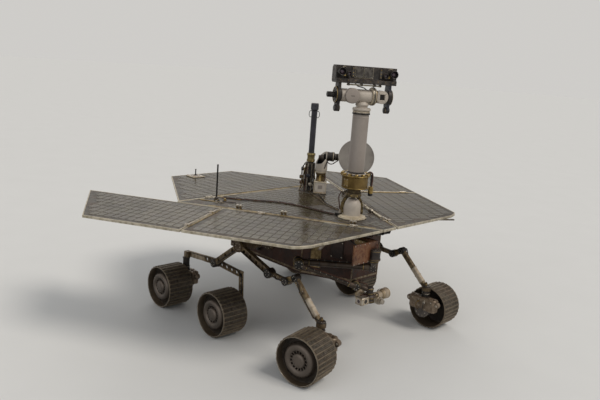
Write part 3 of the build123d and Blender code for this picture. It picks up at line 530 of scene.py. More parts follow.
def lightened(s, p, q, deep, wide, holes, r):
    """Straight beam with flanged edges and a row of round holes through its web."""
    p, q = Vector(p), Vector(q)
    u, side = (q - p).normalized(), Vector(ASIDE)
    w = u.cross(side)
    step, h, t, tiny = (q - p).length / holes, deep / 2, wide / 2 - 1.2, 1e-4
    corner = abs(Vector((step / 2, h)).angle_signed(Vector((1, 0))))
    angles = sorted([2 * pi * i / 24 for i in range(24)] + [corner, pi - corner, pi + corner,
            2 * pi - corner])
    for k in range(holes):
        c = p + u * step * (k + 0.5)
        reach = [min(step / 2 / max(abs(cos(a)), 1e-6), h / max(abs(sin(a)), 1e-6)) for a in angles]
        offs = [(u * cos(a) + w * sin(a), m) for a, m in zip(angles, reach)]
        loops = [[s.vert(c + d * (m if edge else r) + side * y) for d, m in offs] for edge,
                 y in ((True, -t), (False, -t), (False, t), (True, t))]
        n = len(offs)
        for i in range(n):
            j = (i + 1) % n
            for a, b in zip(loops, loops[1:]):
                s.face([a[i], a[j], b[j], b[i]], BROWN)
            di, dj = offs[i][0] * offs[i][1], offs[j][0] * offs[j][1]
            flat = all(abs(abs(d.dot(w)) - h) < tiny for d in (di, dj))
            end = ((k == 0 and max(di.dot(u), dj.dot(u)) < tiny - step / 2)
                   or (k == holes - 1 and min(di.dot(u), dj.dot(u)) > step / 2 - tiny))
            if flat or end:
                s.face([loops[3][i], loops[3][j], loops[0][j], loops[0][i]], BROWN)
        s.ring(c - side * t, side, r + 1, 1.1, BRONZE, 24, 6)
    for e in (-1, 1):
        beam(s, p + w * e * (h - 1), q + w * e * (h - 1), 3.4, wide, BROWN, side, 0.8)


def drum(s, spot, r, back, out, mat, bolts=6):
    """Joint drum across a beam, with a turned rim, a recessed cover and its screws."""
    x, z = spot
    o, length = (x, ARM_Y + back, z), back + out
    rings = [(r - 4, 0), (r - 1, 1), (r, 3), (r, length - 7), (r - 1.5, length - 6.5), (r - 1.5, length - 4),
             (r, length - 3.5), (r, length - 1), (r - 1, length), (r - 5, length), (r - 5.6, length - 2.5),
             (7, length - 2.5), (6, length - 0.5), (3, length)]
    s.lathe(o, OUTWARD, rings, mat, 40)
    s.bolts((x, ARM_Y - out + 2.6, z), OUTWARD, r * 0.58, bolts, 1.9, SILVER)
    s.bolts((x, o[1] - 0.5, z), ASIDE, r * 0.55, bolts, 1.9, SILVER)


def clipped(s, points, r, mat, ties=5, tie=None):
    """Harness along a beam with its dark ties."""
    tube(s, points, r, mat)
    pts = [Vector(p) for p in points]
    for k in range(ties):
        f = (k + 0.5) / ties * (len(pts) - 1)
        i = int(f)
        c = pts[i].lerp(pts[i + 1], f - i)
        s.ring(c, pts[i + 1] - pts[i], r + 0.3, 1.0, tie or BLACK, 14, 6)


def actuator(s, x, z0, z1):
    """Steering actuator with a low boss on top and the screws of its flange."""
    r, h = 22, z1 - z0
    s.lathe((x, ARM_Y, z0), UPRIGHT, [(r - 2, 0), (r, 1), (r, 7), (r - 2.5, 8), (r - 2.5, h - 9),
                                      (r - 0.5, h - 8), (r, h - 7), (r, h - 2), (r - 2, h), (11, h),
                                      (10, h + 0.6), (4, h + 0.6)], CHARCOAL, 40)
    s.ring((x, ARM_Y, z0 + 4), UPRIGHT, r - 0.4, 1.0, SILVER, 40, 6)
    s.bolts((x, ARM_Y, z1 - 0.4), UPRIGHT, r - 4.5, 8, 1.7, SILVER)


def rocker(s):
    """Two lightened beams from the pivot, the folding strut to the front actuator, and their harness."""
    y = ARM_Y

    def spot(xz, dy=0.0):
        return Vector((xz[0], y + dy, xz[1]))

    def between(a, b, t, dy=0.0):
        return spot(a, dy).lerp(spot(b, dy), t)

    lightened(s, between(PIVOT, JOINT, 0.1), between(PIVOT, JOINT, 0.92), 34, 24, 4, 9.5)
    lightened(s, between(PIVOT, BOGIE_PIVOT, 0.1), between(PIVOT, BOGIE_PIVOT, 0.93), 31, 22, 3, 9.5)
    for end, room in ((JOINT, 0.86), (BOGIE_PIVOT, 0.88)):
        beam(s, between(PIVOT, end, room - 0.02), between(PIVOT, end, 1.0), 32, 22, BROWN)
        beam(s, between(PIVOT, end, 0.0), between(PIVOT, end, 0.13), 33, 23, BROWN)
    beam(s, spot(JOINT), spot(CROSS_TURN), 24, 18, BROWN, soft=2)
    for t in (0.3, 0.5, 0.7):
        c = between(JOINT, CROSS_TURN, t, -9)
        s.bolt(c, OUTWARD, 2.6, SILVER)
    beam(s, spot(CROSS_TURN), spot(STRUT_TOP), 33, 21.6, BRONZE, soft=2.5)
    drum(s, PIVOT, 32, 22, 18, BROWN, 8)
    drum(s, JOINT, 25, 22, 22, BLACK)
    drum(s, CROSS_TURN, 21, 22, 20, CHARCOAL)
    drum(s, STRUT_TOP, 19, 22, 15, BLACK)
    s.ring((PIVOT[0], y - 10, PIVOT[1]), ASIDE, 32.4, 1.3, GOLD, 44, 6)
    s.ring((JOINT[0], y - 12, JOINT[1]), ASIDE, 25.3, 1.1, BRONZE, 40, 6)
    foot = (FRONT_AXLE, WHEEL_R + STEER_FOOT + 30)
    beam(s, spot(STRUT_TOP), between(STRUT_TOP, foot, 0.46), 28, 22, BROWN, soft=2.5)
    beam(s, between(STRUT_TOP, foot, 0.45), between(STRUT_TOP, foot, 0.83), 30, 24, PALE, soft=4)
    for t in (0.46, 0.64, 0.81):
        beam(s, between(STRUT_TOP, foot, t), between(STRUT_TOP, foot, t + 0.02), 33, 27, PALE, soft=2)
    beam(s, between(STRUT_TOP, foot, 0.80), between(STRUT_TOP, foot, 1.0), 26, 21, BROWN, soft=2.5)
    for t in (0.12, 0.3):
        for e in (-8, 8):
            c = between(STRUT_TOP, foot, t, -11) + Vector((0.68, 0, 0.74)) * e
            s.bolt(c, OUTWARD, 2.4, SILVER)
    x, z = foot
    s.lathe((x, y, z - 11), UPRIGHT, [(23, 0), (24.5, 1.5), (24.5, 20.5), (23, 22)], BROWN, 40)
    actuator(s, FRONT_AXLE, WHEEL_R + STEER_FOOT, WHEEL_R + STEER_FOOT + 50)
    s.lathe((x - 4, y + 4, WHEEL_R + STEER_FOOT + 49), UPRIGHT, [(9, 0), (9, 8), (7, 10), (7, 15), (4, 17)],
            BRONZE, 20)

    def aside(a, b, t, dy, up):
        d = (spot(b) - spot(a)).normalized()
        return between(a, b, t, dy) + d.cross(Vector(ASIDE)) * -up

    run = [aside(PIVOT, JOINT, t, -14.5, 9) for t in (0.14, 0.4, 0.65, 0.88)]
    run += [spot(JOINT, -25.5) + Vector((4, 0, 24)), aside(JOINT, CROSS_TURN, 0.5, -13, 9),
            spot(CROSS_TURN, -23.5) + Vector((2, 0, 18)), aside(CROSS_TURN, STRUT_TOP, 0.6, -15, 12),
            spot(STRUT_TOP, -18) + Vector((14, 0, 12))]
    run += [aside(STRUT_TOP, foot, t, -14, 7) for t in (0.25, 0.45, 0.65, 0.82)]
    run += [Vector((FRONT_AXLE - 6, y - 10, z + 24)), Vector((FRONT_AXLE - 4, y + 3, z + 38))]
    clipped(s, run, 2.6, BLACK, 16)
    clipped(s, [p + Vector((0, -1, -5.4)) for p in run[9:13]], 2.0, BRONZE, 4)
    back = [aside(PIVOT, BOGIE_PIVOT, t, -13.5, -9) for t in (0.16, 0.4, 0.65, 0.86)]
    clipped(s, back, 2.4, BLACK, 6)


def bogie(s):
    """Bogie with its pivot drum, the leg of the middle wheel and the actuator of the rear wheel."""
    y = ARM_Y + 16.25
    mid = y + 4.75
    px, pz = BOGIE_PIVOT
    nose, axle = Vector((BOGIE_NOSE[0], mid, BOGIE_NOSE[1])), Vector((0, mid, WHEEL_R))
    hub, tail = Vector((px, mid, pz)), Vector((REAR_AXLE, mid, BOGIE_TAIL_Z))
    s.lathe((px, y + 9.5, pz), OUTWARD, [(22, -1), (25, 0), (26, 1), (26, 8.5), (25, 9.5)], BROWN, 40)
    s.lathe((px, ARM_Y + 17, pz), OUTWARD, [(20, 0), (24, 0.5), (24, 30), (22, 32), (22, 33), (18, 34.5),
                                            (17.4, 32.5), (6, 32.5), (5, 34.5), (2, 35)], CHARCOAL, 40)
    s.bolts((px, ARM_Y - 15.6, pz), OUTWARD, 12, 6, 1.8, SILVER)
    s.bolts((px, y + 9, pz), ASIDE, 17, 8, 2.0, SILVER)
    lightened(s, hub.lerp(nose, 0.08), hub.lerp(nose, 0.93), 35, 9.5, 4, 10)
    lightened(s, hub.lerp(tail, 0.08), hub.lerp(tail, 0.45), 35, 9.5, 2, 10)
    beam(s, hub.lerp(tail, 0.44), hub.lerp(tail, 0.98), 36, 10, BEIGE, soft=2.5)
    beam(s, nose + Vector((-12, 0, 4)), nose + Vector((17, 0, 2)), 35, 9.5, BROWN)
    beam(s, nose + Vector((0, 0, 8)), axle, 34, 9.5, BROWN, soft=2)
    for z in (150, 185, 220, 255):
        s.bolt((-9 + (302 - z) * 0.05, mid + 4.4, z), ASIDE, 2.6, SILVER)
        s.bolt((-9 + (302 - z) * 0.05, mid - 4.4, z), OUTWARD, 2.6, SILVER)
    s.lathe((0, mid - 5, WHEEL_R), ASIDE, [(24, -2), (28, 0), (28, 9), (25, 11)], BROWN, 40)
    half = 17.5
    box(s, (REAR_AXLE - half, ARM_Y - 8, BOGIE_TAIL_Z - half),
        (REAR_AXLE + half, y + 9.5, BOGIE_TAIL_Z + half), BROWN, 3)
    screws(s, (REAR_AXLE - 11, REAR_AXLE + 11), (ARM_Y - 1, ARM_Y + 18), (BOGIE_TAIL_Z + half - 0.4,),
           UPRIGHT, 2.2, SILVER)
    actuator(s, REAR_AXLE, WHEEL_R + STEER_FOOT, BOGIE_TAIL_Z - half + 2)
    run = [hub + Vector((20, -7.5, -6))] + [hub.lerp(nose, t) + Vector((0, -7, 12)) for t in (0.3, 0.6, 0.9)]
    run += [nose + Vector((12, -7.5, -14)), Vector((6, mid - 7.5, 210)), Vector((4, mid - 7.5, 152))]
    clipped(s, run, 2.2, BLACK, 7)
    run = [hub + Vector((-20, -7.5, -4))] + [hub.lerp(tail, t) + Vector((0, -7, 12)) for t in (0.3, 0.6, 0.9)]
    clipped(s, run, 2.2, BLACK, 6)
    s.place = s.place @ Matrix.Translation((0, -TRACK_HALF, WHEEL_R))
    wheel_drive(s, reach=51)


HANDS = ("right", Matrix.Identity(4)), ("left", MIRROR)
for name, flip in HANDS:
    for kind, made in (("rocker", rocker), ("bogie", bogie)):
        s = Shape(flip)
        made(s)
        s.done(kind + "_look_" + name, "chassis", kind + "_" + name)

s = Shape()
for e in (-1, 1):
    x, z = PIVOT
    s.lathe((x, e * 225.25, z), (0, e, 0), [(48, 0), (52, 1.5), (52, 8), (47, 10), (33, 12), (30, 20),
                                            (SHAFT_R, 26), (SHAFT_R, 176), (SHAFT_R - 2, 184.5)], BROWN, 48)
    s.bolts((x, e * 234, z), (0, e, 0), 42, 12, 2.8, SILVER)
    for y in (262, 300, 338, 376):
        s.ring((x, e * y, z), ASIDE, SHAFT_R, 1.6, BRONZE, 40, 6)
    clipped(s, [(x + 4, e * y, z + SHAFT_R + 2.4) for y in (238, 280, 320, 360, 404)], 2.6, BLACK, 6)
s.done("rocker_shaft_look", "chassis", "rocker_shafts")


# Solar deck. The deck, two side panels, two wings and the rear panel are honeycomb boards edged with pale
# tape and covered with small cells, bonded on one by one; hinges with round knuckles join them.

FRONT_X, FRONT_HALF, REAR_HALF, DECK_TOP, DECK_T, SWEEP = 635.0, 55.0, 620.0, 658.0, 12.0, radians(30)
DECK_REAR_X = FRONT_X - (REAR_HALF - FRONT_HALF) / tan(SWEEP)
REAR_PANEL_X, STRIP_INNER, STRIP_W, WING_INNER = DECK_REAR_X - 616.4, 858.0, 499.0, 799.0
COS, SIN = cos(SWEEP), sin(SWEEP)
CELL_L, CELL_W, CELL_GAP = 40.2, 61.6, 2
BOARD = metal("deck_board", "17130c", "241e14", (0.5, 0.7), 0.1, 14, 260, 0.15, 0.1, 0.1)
UNDER = metal("deck_underside", "241a10", "44321f", (0.4, 0.65), 0.25, 10, 140, 0.3, 0.0, 0.1)
TRIM = metal("panel_edge", "857c69", "aca28c", (0.35, 0.6), 0.35, 30, 400, 0.12, 0.12, 0.4)
COPPER = metal("copper_harness", "30170e", "54301f", (0.4, 0.6), 0.3, 30, 400, 0.12, 0.1, 0.2, "8a6a50")


def cell_glass(name, dark, light, rim):
    """Cell under its cover glass: streaks of tone, a soft gloss and settled dust."""
    g = Finish(name)
    streak, broad = g.noise(9, 5, 0.65, 0.6), g.noise(2.6, 3, 0.5)
    colour = g.mix(g.band(g.both(streak, 0.55, broad), 0.4, 0.62), linear(dark), linear(light))
    speck = g.noise(1400, 2, 0.5)
    colour = g.tint(colour, g.band(speck, 0.5, 0.75), 0.3, linear(rim))
    colour = g.tint(colour, g.band(g.noise(38, 6, 0.7), 0.55, 0.8), 0.18, DUST)
    gloss = g.band(streak, 0.3, 0.7, 0.14, 0.26)
    g.bsdf.inputs["Specular IOR Level"].default_value = 0.16
    return g.made(colour, gloss, 0.0, g.bump(speck, 0.05, 0.0004))


CELLS = [cell_glass("cell_olive", "39321f", "483f2b", "5a5039"),
         cell_glass("cell_brown", "382f22", "473d2d", "584e3b")]


def rise(h):
    """Upwards by h."""
    return Vector((0, 0, h))


def on_strip(back, out):
    """Point of the right-hand strip: back from its front corner, and outwards from its hinge line."""
    return Vector((FRONT_X - back * COS + out * SIN, -FRONT_HALF - back * SIN - out * COS))


def inside(p, outline, margin):
    """Whether a point lies within an anticlockwise outline, at least the margin away from each edge."""
    for a, b in zip(outline, outline[1:] + outline[:1]):
        d = (b - a).normalized()
        if d.x * (p.y - a.y) - d.y * (p.x - a.x) < margin:
            return False
    return True


def panel(s, outline, margin, start, size, place=lambda u, v: Vector((u, v)), keep_out=()):
    """Board with its edge tape, underside skin and cells, laid from start in steps of their size."""
    pts, flat = anticlockwise(outline), (CENTRE, AHEAD, ASIDE)
    z0, z1 = DECK_TOP - DECK_T, DECK_TOP
    prism(s, inset(pts, 2.2), flat, z0 + 0.8, z1 - 0.5, BOARD, 0.2)
    prism(s, inset(pts, 5), flat, z0 + 0.3, z0 + 1.2, UNDER, 0.2)
    rim = [(0.6, z0), (0, z0 + 1), (0, z1 - 0.6), (0.8, z1 + 0.5), (5, z1 + 0.5), (5.4, z1 - 0.7),
           (5.4, z0 + 0.2)]
    s.skin([[(p.x, p.y, z) for p in inset(pts, d)] for d, z in rim], TRIM, closed=True)
    (du, dv), gap = size, CELL_GAP
    for i, j in product(range(-60, 61), repeat=2):
        u, v = start[0] + i * du, start[1] + j * dv
        quad = [place(u + a, v + b) for a, b in ((gap, gap), (du - gap, gap), (du - gap, dv - gap),
                (gap, dv - gap))]
        c = (quad[0] + quad[2]) / 2
        within = all(inside(q, pts, margin) for q in quad)
        kept_out = any(abs(c.x - x) < w + du / 2 and abs(c.y - y) < d + dv / 2 for x, y, w, d in keep_out)
        if kept_out or not within:
            continue
        mat = CELLS[(i * 7 + j * 13 + (i * j) % 5) % 2]
        low = [s.vert((q.x, q.y, z1 - 0.6)) for q in quad]
        top = [s.vert((*q.lerp(c, 0.03), z1 + 0.6)) for q in quad]
        s.face(top, mat)
        for a in range(4):
            b = (a + 1) % 4
            s.face([low[a], low[b], top[b], top[a]], mat)


def hinge_half(s, p, along, toward, moving):
    """Knuckles and screwed leaves of one hinge, on the fixed or on the moving board."""
    p, along, way = Vector((p[0], p[1], DECK_TOP + 4)), Vector((*along, 0)), Vector((*toward, 0))
    spans = [(-12, 12)] if moving else [(-21.3, -12.3), (12.3, 21.3)]
    sign = 1 if moving else -1
    for a, b in spans:
        s.lathe(p + along * a, along, [(4.2, 0), (5.5, 0.8), (5.5, b - a - 0.8), (4.2, b - a)], SILVER, 24)
        low = p + along * (a + b) / 2 + rise(-5)
        w = (b - a) / 2
        prism(s, [(2, -w), (26, -w), (26, w), (2, w)], (low, way * sign, along), 0, 4, SILVER, 0.8)
        for k, e in product((10, 19), (-6, 6)) if moving else ((14, 0),):
            s.bolt(low + way * sign * k + along * e + rise(3.8), UPRIGHT, 2.0, BRONZE)
    if not moving:
        s.lathe(p - along * 22.6, along, [(2, 0), (3.2, 0.6), (3.2, 1.4)], GOLD, 16)
        s.lathe(p + along * 22.6, -along, [(2, 0), (3.2, 0.6), (3.2, 1.4)], GOLD, 16)


def strip_bar(s, p, q, wide, mat, high=3.0):
    """Flat bar screwed down on the deck."""
    beam(s, (p[0], p[1], DECK_TOP + high / 2), (q[0], q[1], DECK_TOP + high / 2), high, wide, mat,
         (-(q[1] - p[1]), q[0] - p[0], 0), 0.8)


CELL, EDGE, FIRST_ROW = (CELL_L, CELL_W), 13, 35.2
HINGES_IN, HINGES_OUT, HINGES_REAR = (150.0, 640.0), (110.0, 400.0), (-400.0, 400.0)
ALONG_XY, ACROSS_XY = (COS, SIN), (SIN, -COS)
half, cut = 4.0, 4.0 / COS
rear_y = REAR_HALF - cut - half * tan(SWEEP)
DECK_OUTLINE = [(FRONT_X, FRONT_HALF - cut), (DECK_REAR_X + half, rear_y), (DECK_REAR_X + half, -rear_y),
                (FRONT_X, -FRONT_HALF + cut)]
w = STRIP_W
PRIMARY_OUTLINE = [on_strip(half * tan(SWEEP), half), on_strip((w - 60) * tan(SWEEP), w - 60),
                   on_strip(w * tan(SWEEP) + 10, w - 16), on_strip(w * tan(SWEEP) + 42, w),
                   on_strip(STRIP_INNER - half, w), on_strip(STRIP_INNER - half, half)]
WING_OUTLINE = [on_strip(STRIP_INNER + half, 8), on_strip(STRIP_INNER + half, w),
                on_strip(STRIP_INNER + WING_INNER - w * tan(SWEEP), w),
                on_strip(STRIP_INNER + WING_INNER - 8 * tan(SWEEP), 8)]
rear_x = DECK_REAR_X - half
rear_end = REAR_HALF - 20 - (rear_x - REAR_PANEL_X) * tan(SWEEP)
REAR_OUTLINE = [(rear_x, REAR_HALF - 20), (rear_x, 20 - REAR_HALF), (REAR_PANEL_X, -rear_end),
                (REAR_PANEL_X, rear_end)]

RIB_Z = DECK_TOP - DECK_T - 2.5


def ribs(s, backs, start):
    """Stiffening ribs under a side panel or a wing."""
    for back in backs:
        a, b = on_strip(back, start), on_strip(back, STRIP_W - 60)
        beam(s, (a.x, a.y, RIB_Z), (b.x, b.y, RIB_Z), 7, 14, UNDER, (COS, SIN, 0))


for name, flip in HANDS:
    s = Shape(flip)
    panel(s, PRIMARY_OUTLINE, EDGE, (15, FIRST_ROW), CELL, on_strip)
    for back in HINGES_IN:
        hinge_half(s, on_strip(back, 0), ALONG_XY, ACROSS_XY, True)
    for out in HINGES_OUT:
        hinge_half(s, on_strip(STRIP_INNER, out), ACROSS_XY, (-COS, -SIN), False)
    ribs(s, (220, 410, 600), 70)
    a, b = on_strip(STRIP_INNER - 11, 60), on_strip(STRIP_INNER - 11, w - 60)
    strip_bar(s, a, b, 4, GOLD)
    a, b, c = on_strip(300, 16), on_strip(520, 14), on_strip(730, 18)
    tube(s, [(a.x, a.y, 660), (b.x, b.y, 661.5), (c.x, c.y, 660)], 1.6, BRONZE)
    for back in (180, 330, 480, 700):
        p = on_strip(back, 9)
        s.bolt((p.x, p.y, DECK_TOP), UPRIGHT, 2.6, GOLD)
    s.done("panel_look_" + name, "panel_" + name, "panel_primary_" + name)

    s = Shape(flip)
    panel(s, WING_OUTLINE, EDGE, (STRIP_INNER + 22, FIRST_ROW), CELL, on_strip)
    for out in HINGES_OUT:
        hinge_half(s, on_strip(STRIP_INNER, out), ACROSS_XY, (-COS, -SIN), True)
    ribs(s, (STRIP_INNER + 130, STRIP_INNER + 320), 60)
    a, b = on_strip(STRIP_INNER + 11, 60), on_strip(STRIP_INNER + 11, w - 60)
    strip_bar(s, a, b, 4, SILVER)
    s.done("wing_look_" + name, "wing_" + name, "panel_wing_" + name)

s = Shape()
panel(s, REAR_OUTLINE, EDGE, (REAR_PANEL_X + 20, -CELL_W * 8.5), CELL, keep_out=[(-890, -107, 40, 40)])
for y in HINGES_REAR:
    hinge_half(s, (DECK_REAR_X, y), (0, 1), (-1, 0), True)
for x in (-480, -660, -840):
    beam(s, (x, -260, RIB_Z), (x, 260, RIB_Z), 7, 14, UNDER, AHEAD)
strip_bar(s, (rear_x - 8, -330), (rear_x - 8, 330), 4, GOLD)
s.done("panel_look_rear", "rear_panel", "panel_rear")


# Equipment deck. Its own smaller cells stop short of the mast, the antennas and the strips of fittings along
# its sides, where release latches, a dashed hold-down bar and clipped harnesses are screwed to the board.

s = Shape()
clear = [(376, 0, 84, 84), (-150, 300, 66, 66), (-243, 298, 60, 60), (-265, -407, 90, 130),
         (-265, 440, 60, 120), (120, 0, 26, 40), (250, 60, 60, 40)]
panel(s, DECK_OUTLINE, 26, (DECK_REAR_X + 30, -CELL_W * 9.5), (CELL_L, CELL_W / 2), keep_out=clear)
for e in (1, -1):
    for back in HINGES_IN:
        p = on_strip(back, 0)
        hinge_half(s, (p.x, e * p.y), (COS, e * SIN), (SIN, -e * COS), False)
    a, b = on_strip(40, -13), on_strip(950, -13)
    strip_bar(s, (a.x, a.y * e), (b.x, b.y * e), 5, GOLD, 2.4)
    for back in range(70, 950, 55):
        p = on_strip(back, -13)
        s.bolt((p.x, p.y * e, DECK_TOP + 2.2), UPRIGHT, 1.8, SILVER)
for y in HINGES_REAR:
    hinge_half(s, (DECK_REAR_X, y), (0, 1), (-1, 0), False)
# release latches: a pair of bright rollers in a fork
for back, e in ((777, 1), (528, 1), (161, 1), (300, -1), (777, -1)):
    p = on_strip(back, -30)
    c, d, n = Vector((p.x, p.y * e, DECK_TOP)), Vector((COS, SIN * e, 0)), Vector((SIN, -COS * e, 0))
    beam(s, c - d * 20, c + d * 20, 4, 26, CHARCOAL, n)
    for k in (-9, 9):
        s.lathe(c + d * k - n * 7 + rise(14), n, [(6, 0), (9, 1), (9.5, 3), (9.5, 11), (9, 13), (6, 14)],
                SILVER, 28)
        for foot in (c + d * k - n * 8, c + d * k + n * 8):
            beam(s, foot, foot + rise(18), 7, 3, BRONZE, n)
        s.bolt(c + d * k * 1.9 + rise(1.8), UPRIGHT, 2.2, SILVER)
# dashed hold-down bar along the left side
for back in range(170, 420, 14):
    p = on_strip(back, -16)
    beam(s, (p.x - 5 * COS, -(p.y - 5 * SIN), DECK_TOP + 5), (p.x + 5 * COS, -(p.y + 5 * SIN), DECK_TOP + 5),
         8, 12, TRIM, (SIN, COS, 0))
a, b = on_strip(160, -16), on_strip(430, -16)
beam(s, (a.x, -a.y, DECK_TOP + 1.4), (b.x, -b.y, DECK_TOP + 1.4), 3, 18, BRONZE, (SIN, COS, 0))
for p in (a, b):
    s.lathe((p.x, -p.y, DECK_TOP), UPRIGHT, [(12, 0), (12, 4), (9, 5), (9, 13), (7, 15)], SILVER, 28)
# harnesses that run from the rear corners to the mast, on their clips
clipped(s, [(-300, -330, 662), (-200, -250, 663), (-60, -120, 663), (90, -66, 663), (230, -50, 663),
            (300, -36, 663)], 3.0, BLACK, 14, TRIM)
clipped(s, [(-300, -344, 662), (-196, -262, 663), (-56, -130, 663), (92, -76, 663), (232, -60, 663),
            (296, -48, 663)], 2.4, COPPER, 14, BLACK)
clipped(s, [(-118, 262, 663), (-20, 190, 664), (90, 110, 663), (200, 66, 664), (290, 40, 663),
            (312, 20, 664)], 3.2, BLACK, 12, TRIM)
clipped(s, [(-210, 262, 662), (-120, 210, 663), (0, 150, 663), (110, 86, 663), (214, 50, 663),
            (300, 30, 664)], 2.2, BRONZE, 12, BLACK)
s.done("deck_look", "chassis", "equipment_deck")


# Warm box. The electronics sit in a box of light panels below the deck, wrapped in thin metallised film that
# is crumpled a little and taped along its seams; a belly plate closes its floor.

BODY_TOP, BODY_BOTTOM, BODY_REAR_X = DECK_TOP - DECK_T - 0.3, 350.0, DECK_REAR_X + 3.6
AFT = (-1, 0, 0)


def foil(name, dark, light, metallic, rough, crease):
    """Crumpled metallised film: facets that catch the light one by one, and fine creases between them."""
    g = Finish(name)
    cells = g.node("ShaderNodeTexVoronoi", feature="F1")
    g.link(g.co.outputs["Object"], cells.inputs["Vector"])
    cells.inputs["Scale"].default_value = 26
    fold, broad = g.noise(42, 4, 0.6, 1.4), g.noise(6, 4, 0.6)
    colour = g.mix(g.band(g.both(fold, 0.5, broad), 0.36, 0.66), linear(dark), linear(light))
    colour = g.dusty(colour, 0.3)
    gloss = g.band(fold, 0.3, 0.7, *rough)
    small = g.bump(g.noise(160, 3, 0.6, 0.8), 0.25 * crease, 0.002)
    normal = g.bump(cells.outputs["Distance"], 0.5 * crease, 0.006, small)
    return g.made(colour, gloss, metallic, normal)


FOIL = foil("body_foil", "1e110b", "42261a", 0.45, (0.32, 0.58), 0.9)
FOIL_DARK = foil("body_foil_dark", "18100c", "2f1f17", 0.4, (0.35, 0.6), 0.7)
TAPE = metal("seam_tape", "42351f", "665233", (0.35, 0.55), 0.5, 30, 400, 0.12, 0.1, 0.2)
WHITE = metal("warm_white_paint", "988e83", "b3a99c", (0.42, 0.6), 0.0, 12, 300, 0.08, 0.12, 0.12, "c9c2b4")


def crumpled(s, outline, z0, z1, mat):
    """Side wall that stands inside an outline, its film pushed in by small folds, with a floor and a top."""
    pts, step, depth = [], 24.0, 2.6
    for i, a in enumerate(outline):
        a, b = Vector(a), Vector(outline[(i + 1) % len(outline)])
        n = max(int((b - a).length / step), 1)
        run = (b - a).normalized()
        inward = Vector((-run.y, run.x))
        pts += [(a.lerp(b, k / n), inward, k == 0) for k in range(n)]
    rows = int((z1 - z0) / step)
    loops = []
    for k in range(rows + 1):
        z = z0 + (z1 - z0) * k / rows
        loop = []
        for p, inward, corner in pts:
            push = depth * (0.5 + 0.5 * noise.noise(Vector((p.x, p.y, z)) * 0.021))
            d = 0.4 if corner or k in (0, rows) else push
            loop.append((p.x + inward.x * d, p.y + inward.y * d, z))
        loops.append(loop)
    s.skin(loops, mat)


s = Shape()
NOSE_X, NOSE_HALF, TAPER_X, BODY_HALF = 500, 105, 250, 225
BODY_OUTLINE = [(NOSE_X, -NOSE_HALF), (NOSE_X, NOSE_HALF), (TAPER_X, BODY_HALF), (BODY_REAR_X, BODY_HALF),
                (BODY_REAR_X, -BODY_HALF), (TAPER_X, -BODY_HALF)]
crumpled(s, BODY_OUTLINE, BODY_BOTTOM, BODY_TOP, FOIL)
for z in (BODY_BOTTOM + 14, BODY_TOP - 40):
    for a, b in zip(BODY_OUTLINE, BODY_OUTLINE[1:] + BODY_OUTLINE[:1]):
        a, b = Vector((*a, z)), Vector((*b, z))
        d = (b - a).normalized()
        n = d.cross(Vector(UPRIGHT))
        beam(s, a - n * 1.2, b - n * 1.2, 10, 2.6, TAPE, n, 0.6)
for x, y in BODY_OUTLINE:
    beam(s, (x * 0.997, y * 0.995, BODY_BOTTOM + 2), (x * 0.997, y * 0.995, BODY_TOP - 2), 7, 7, TAPE,
         (1, 1, 0), 2)
# doors, boxes and plugs on the walls
for e in (-1, 1):
    for x0, x1, z0, z1 in ((-300, -170, 400, 600), (60, 220, 520, 620)):
        box(s, (x0, e * 223, z0), (x1, e * 229, z1), FOIL_DARK, 3)
        screws(s, (x0 + 8, (x0 + x1) / 2, x1 - 8), (e * 228.6,), (z0 + 8, z1 - 8), (0, e, 0), 2.6, BRONZE)
    for k, x in enumerate((-150, -118, -86)):
        s.lathe((x, e * 224, 400 + 12 * (k % 2)), (0, e, 0), [(12, 0), (12, 5), (10, 6), (10, 16), (8, 18),
                (5, 19)], CHARCOAL, 24)
    tube(s, [(-150, e * 243, 400), (-150, e * 262, 430), (-80, e * 258, 500), (-30, e * 236, 560),
             (-20, e * 230, 640)], 3.4, BLACK)
    tube(s, [(-118, e * 243, 412), (-112, e * 258, 450), (-40, e * 250, 530), (0, e * 232, 600),
             (6, e * 229, 642)], 3.0, COPPER)
    fore, aft = Vector((NOSE_X, e * NOSE_HALF)), Vector((TAPER_X, e * BODY_HALF))
    d = (aft - fore).normalized()
    n = Vector((-d.y, d.x)) * e
    n = n if n.y * e > 0 else -n
    for t, w, z0, z1, mat in ((0.32, 34, 470, 560, FOIL_DARK), (0.72, 28, 400, 520, BRONZE)):
        c = fore.lerp(aft, t) + n * 1.5
        prism(s, [(-w, 0), (w, 0), (w, z1 - z0), (-w, z1 - z0)], ((c.x, c.y, z0), (d.x, d.y, 0), UPRIGHT), -4,
              4, mat, 2)
        for a, z in product((-w + 7, w - 7), (z0 + 7, z1 - 7)):
            s.bolt((c.x + d.x * a + n.x * 3.6, c.y + d.y * a + n.y * 3.6, z), (n.x, n.y, 0), 2.4, SILVER)
# white electronics box behind, with its lid screws
box(s, (BODY_REAR_X - 2, -205, 430), (BODY_REAR_X + 10, 205, 590), WHITE, 3)
screws(s, (BODY_REAR_X - 1.8,), range(-190, 191, 38), (440, 580), AFT, 2.6, SILVER)
for k in range(14):
    box(s, (BODY_REAR_X - 3.4, -195 + 30 * k - 1.5, 452), (BODY_REAR_X - 1, -195 + 30 * k + 1.5, 568), WHITE,
        0.8)
s.done("body_look", "chassis", "body_box")


# Belly plate. A flat plate of aluminium closes the floor of the box; four through holes take the bolts that
# hold the rover down for transport, and ribs and a row of screws stiffen and fix it.

DOWN = (0, 0, -1)
HOLD_DOWN = [(-260, -130), (-260, 130), (140, -130), (140, 130)]
s = Shape()
z1 = BODY_BOTTOM - 0.3
x0, x1, y0 = -285, 165, 155


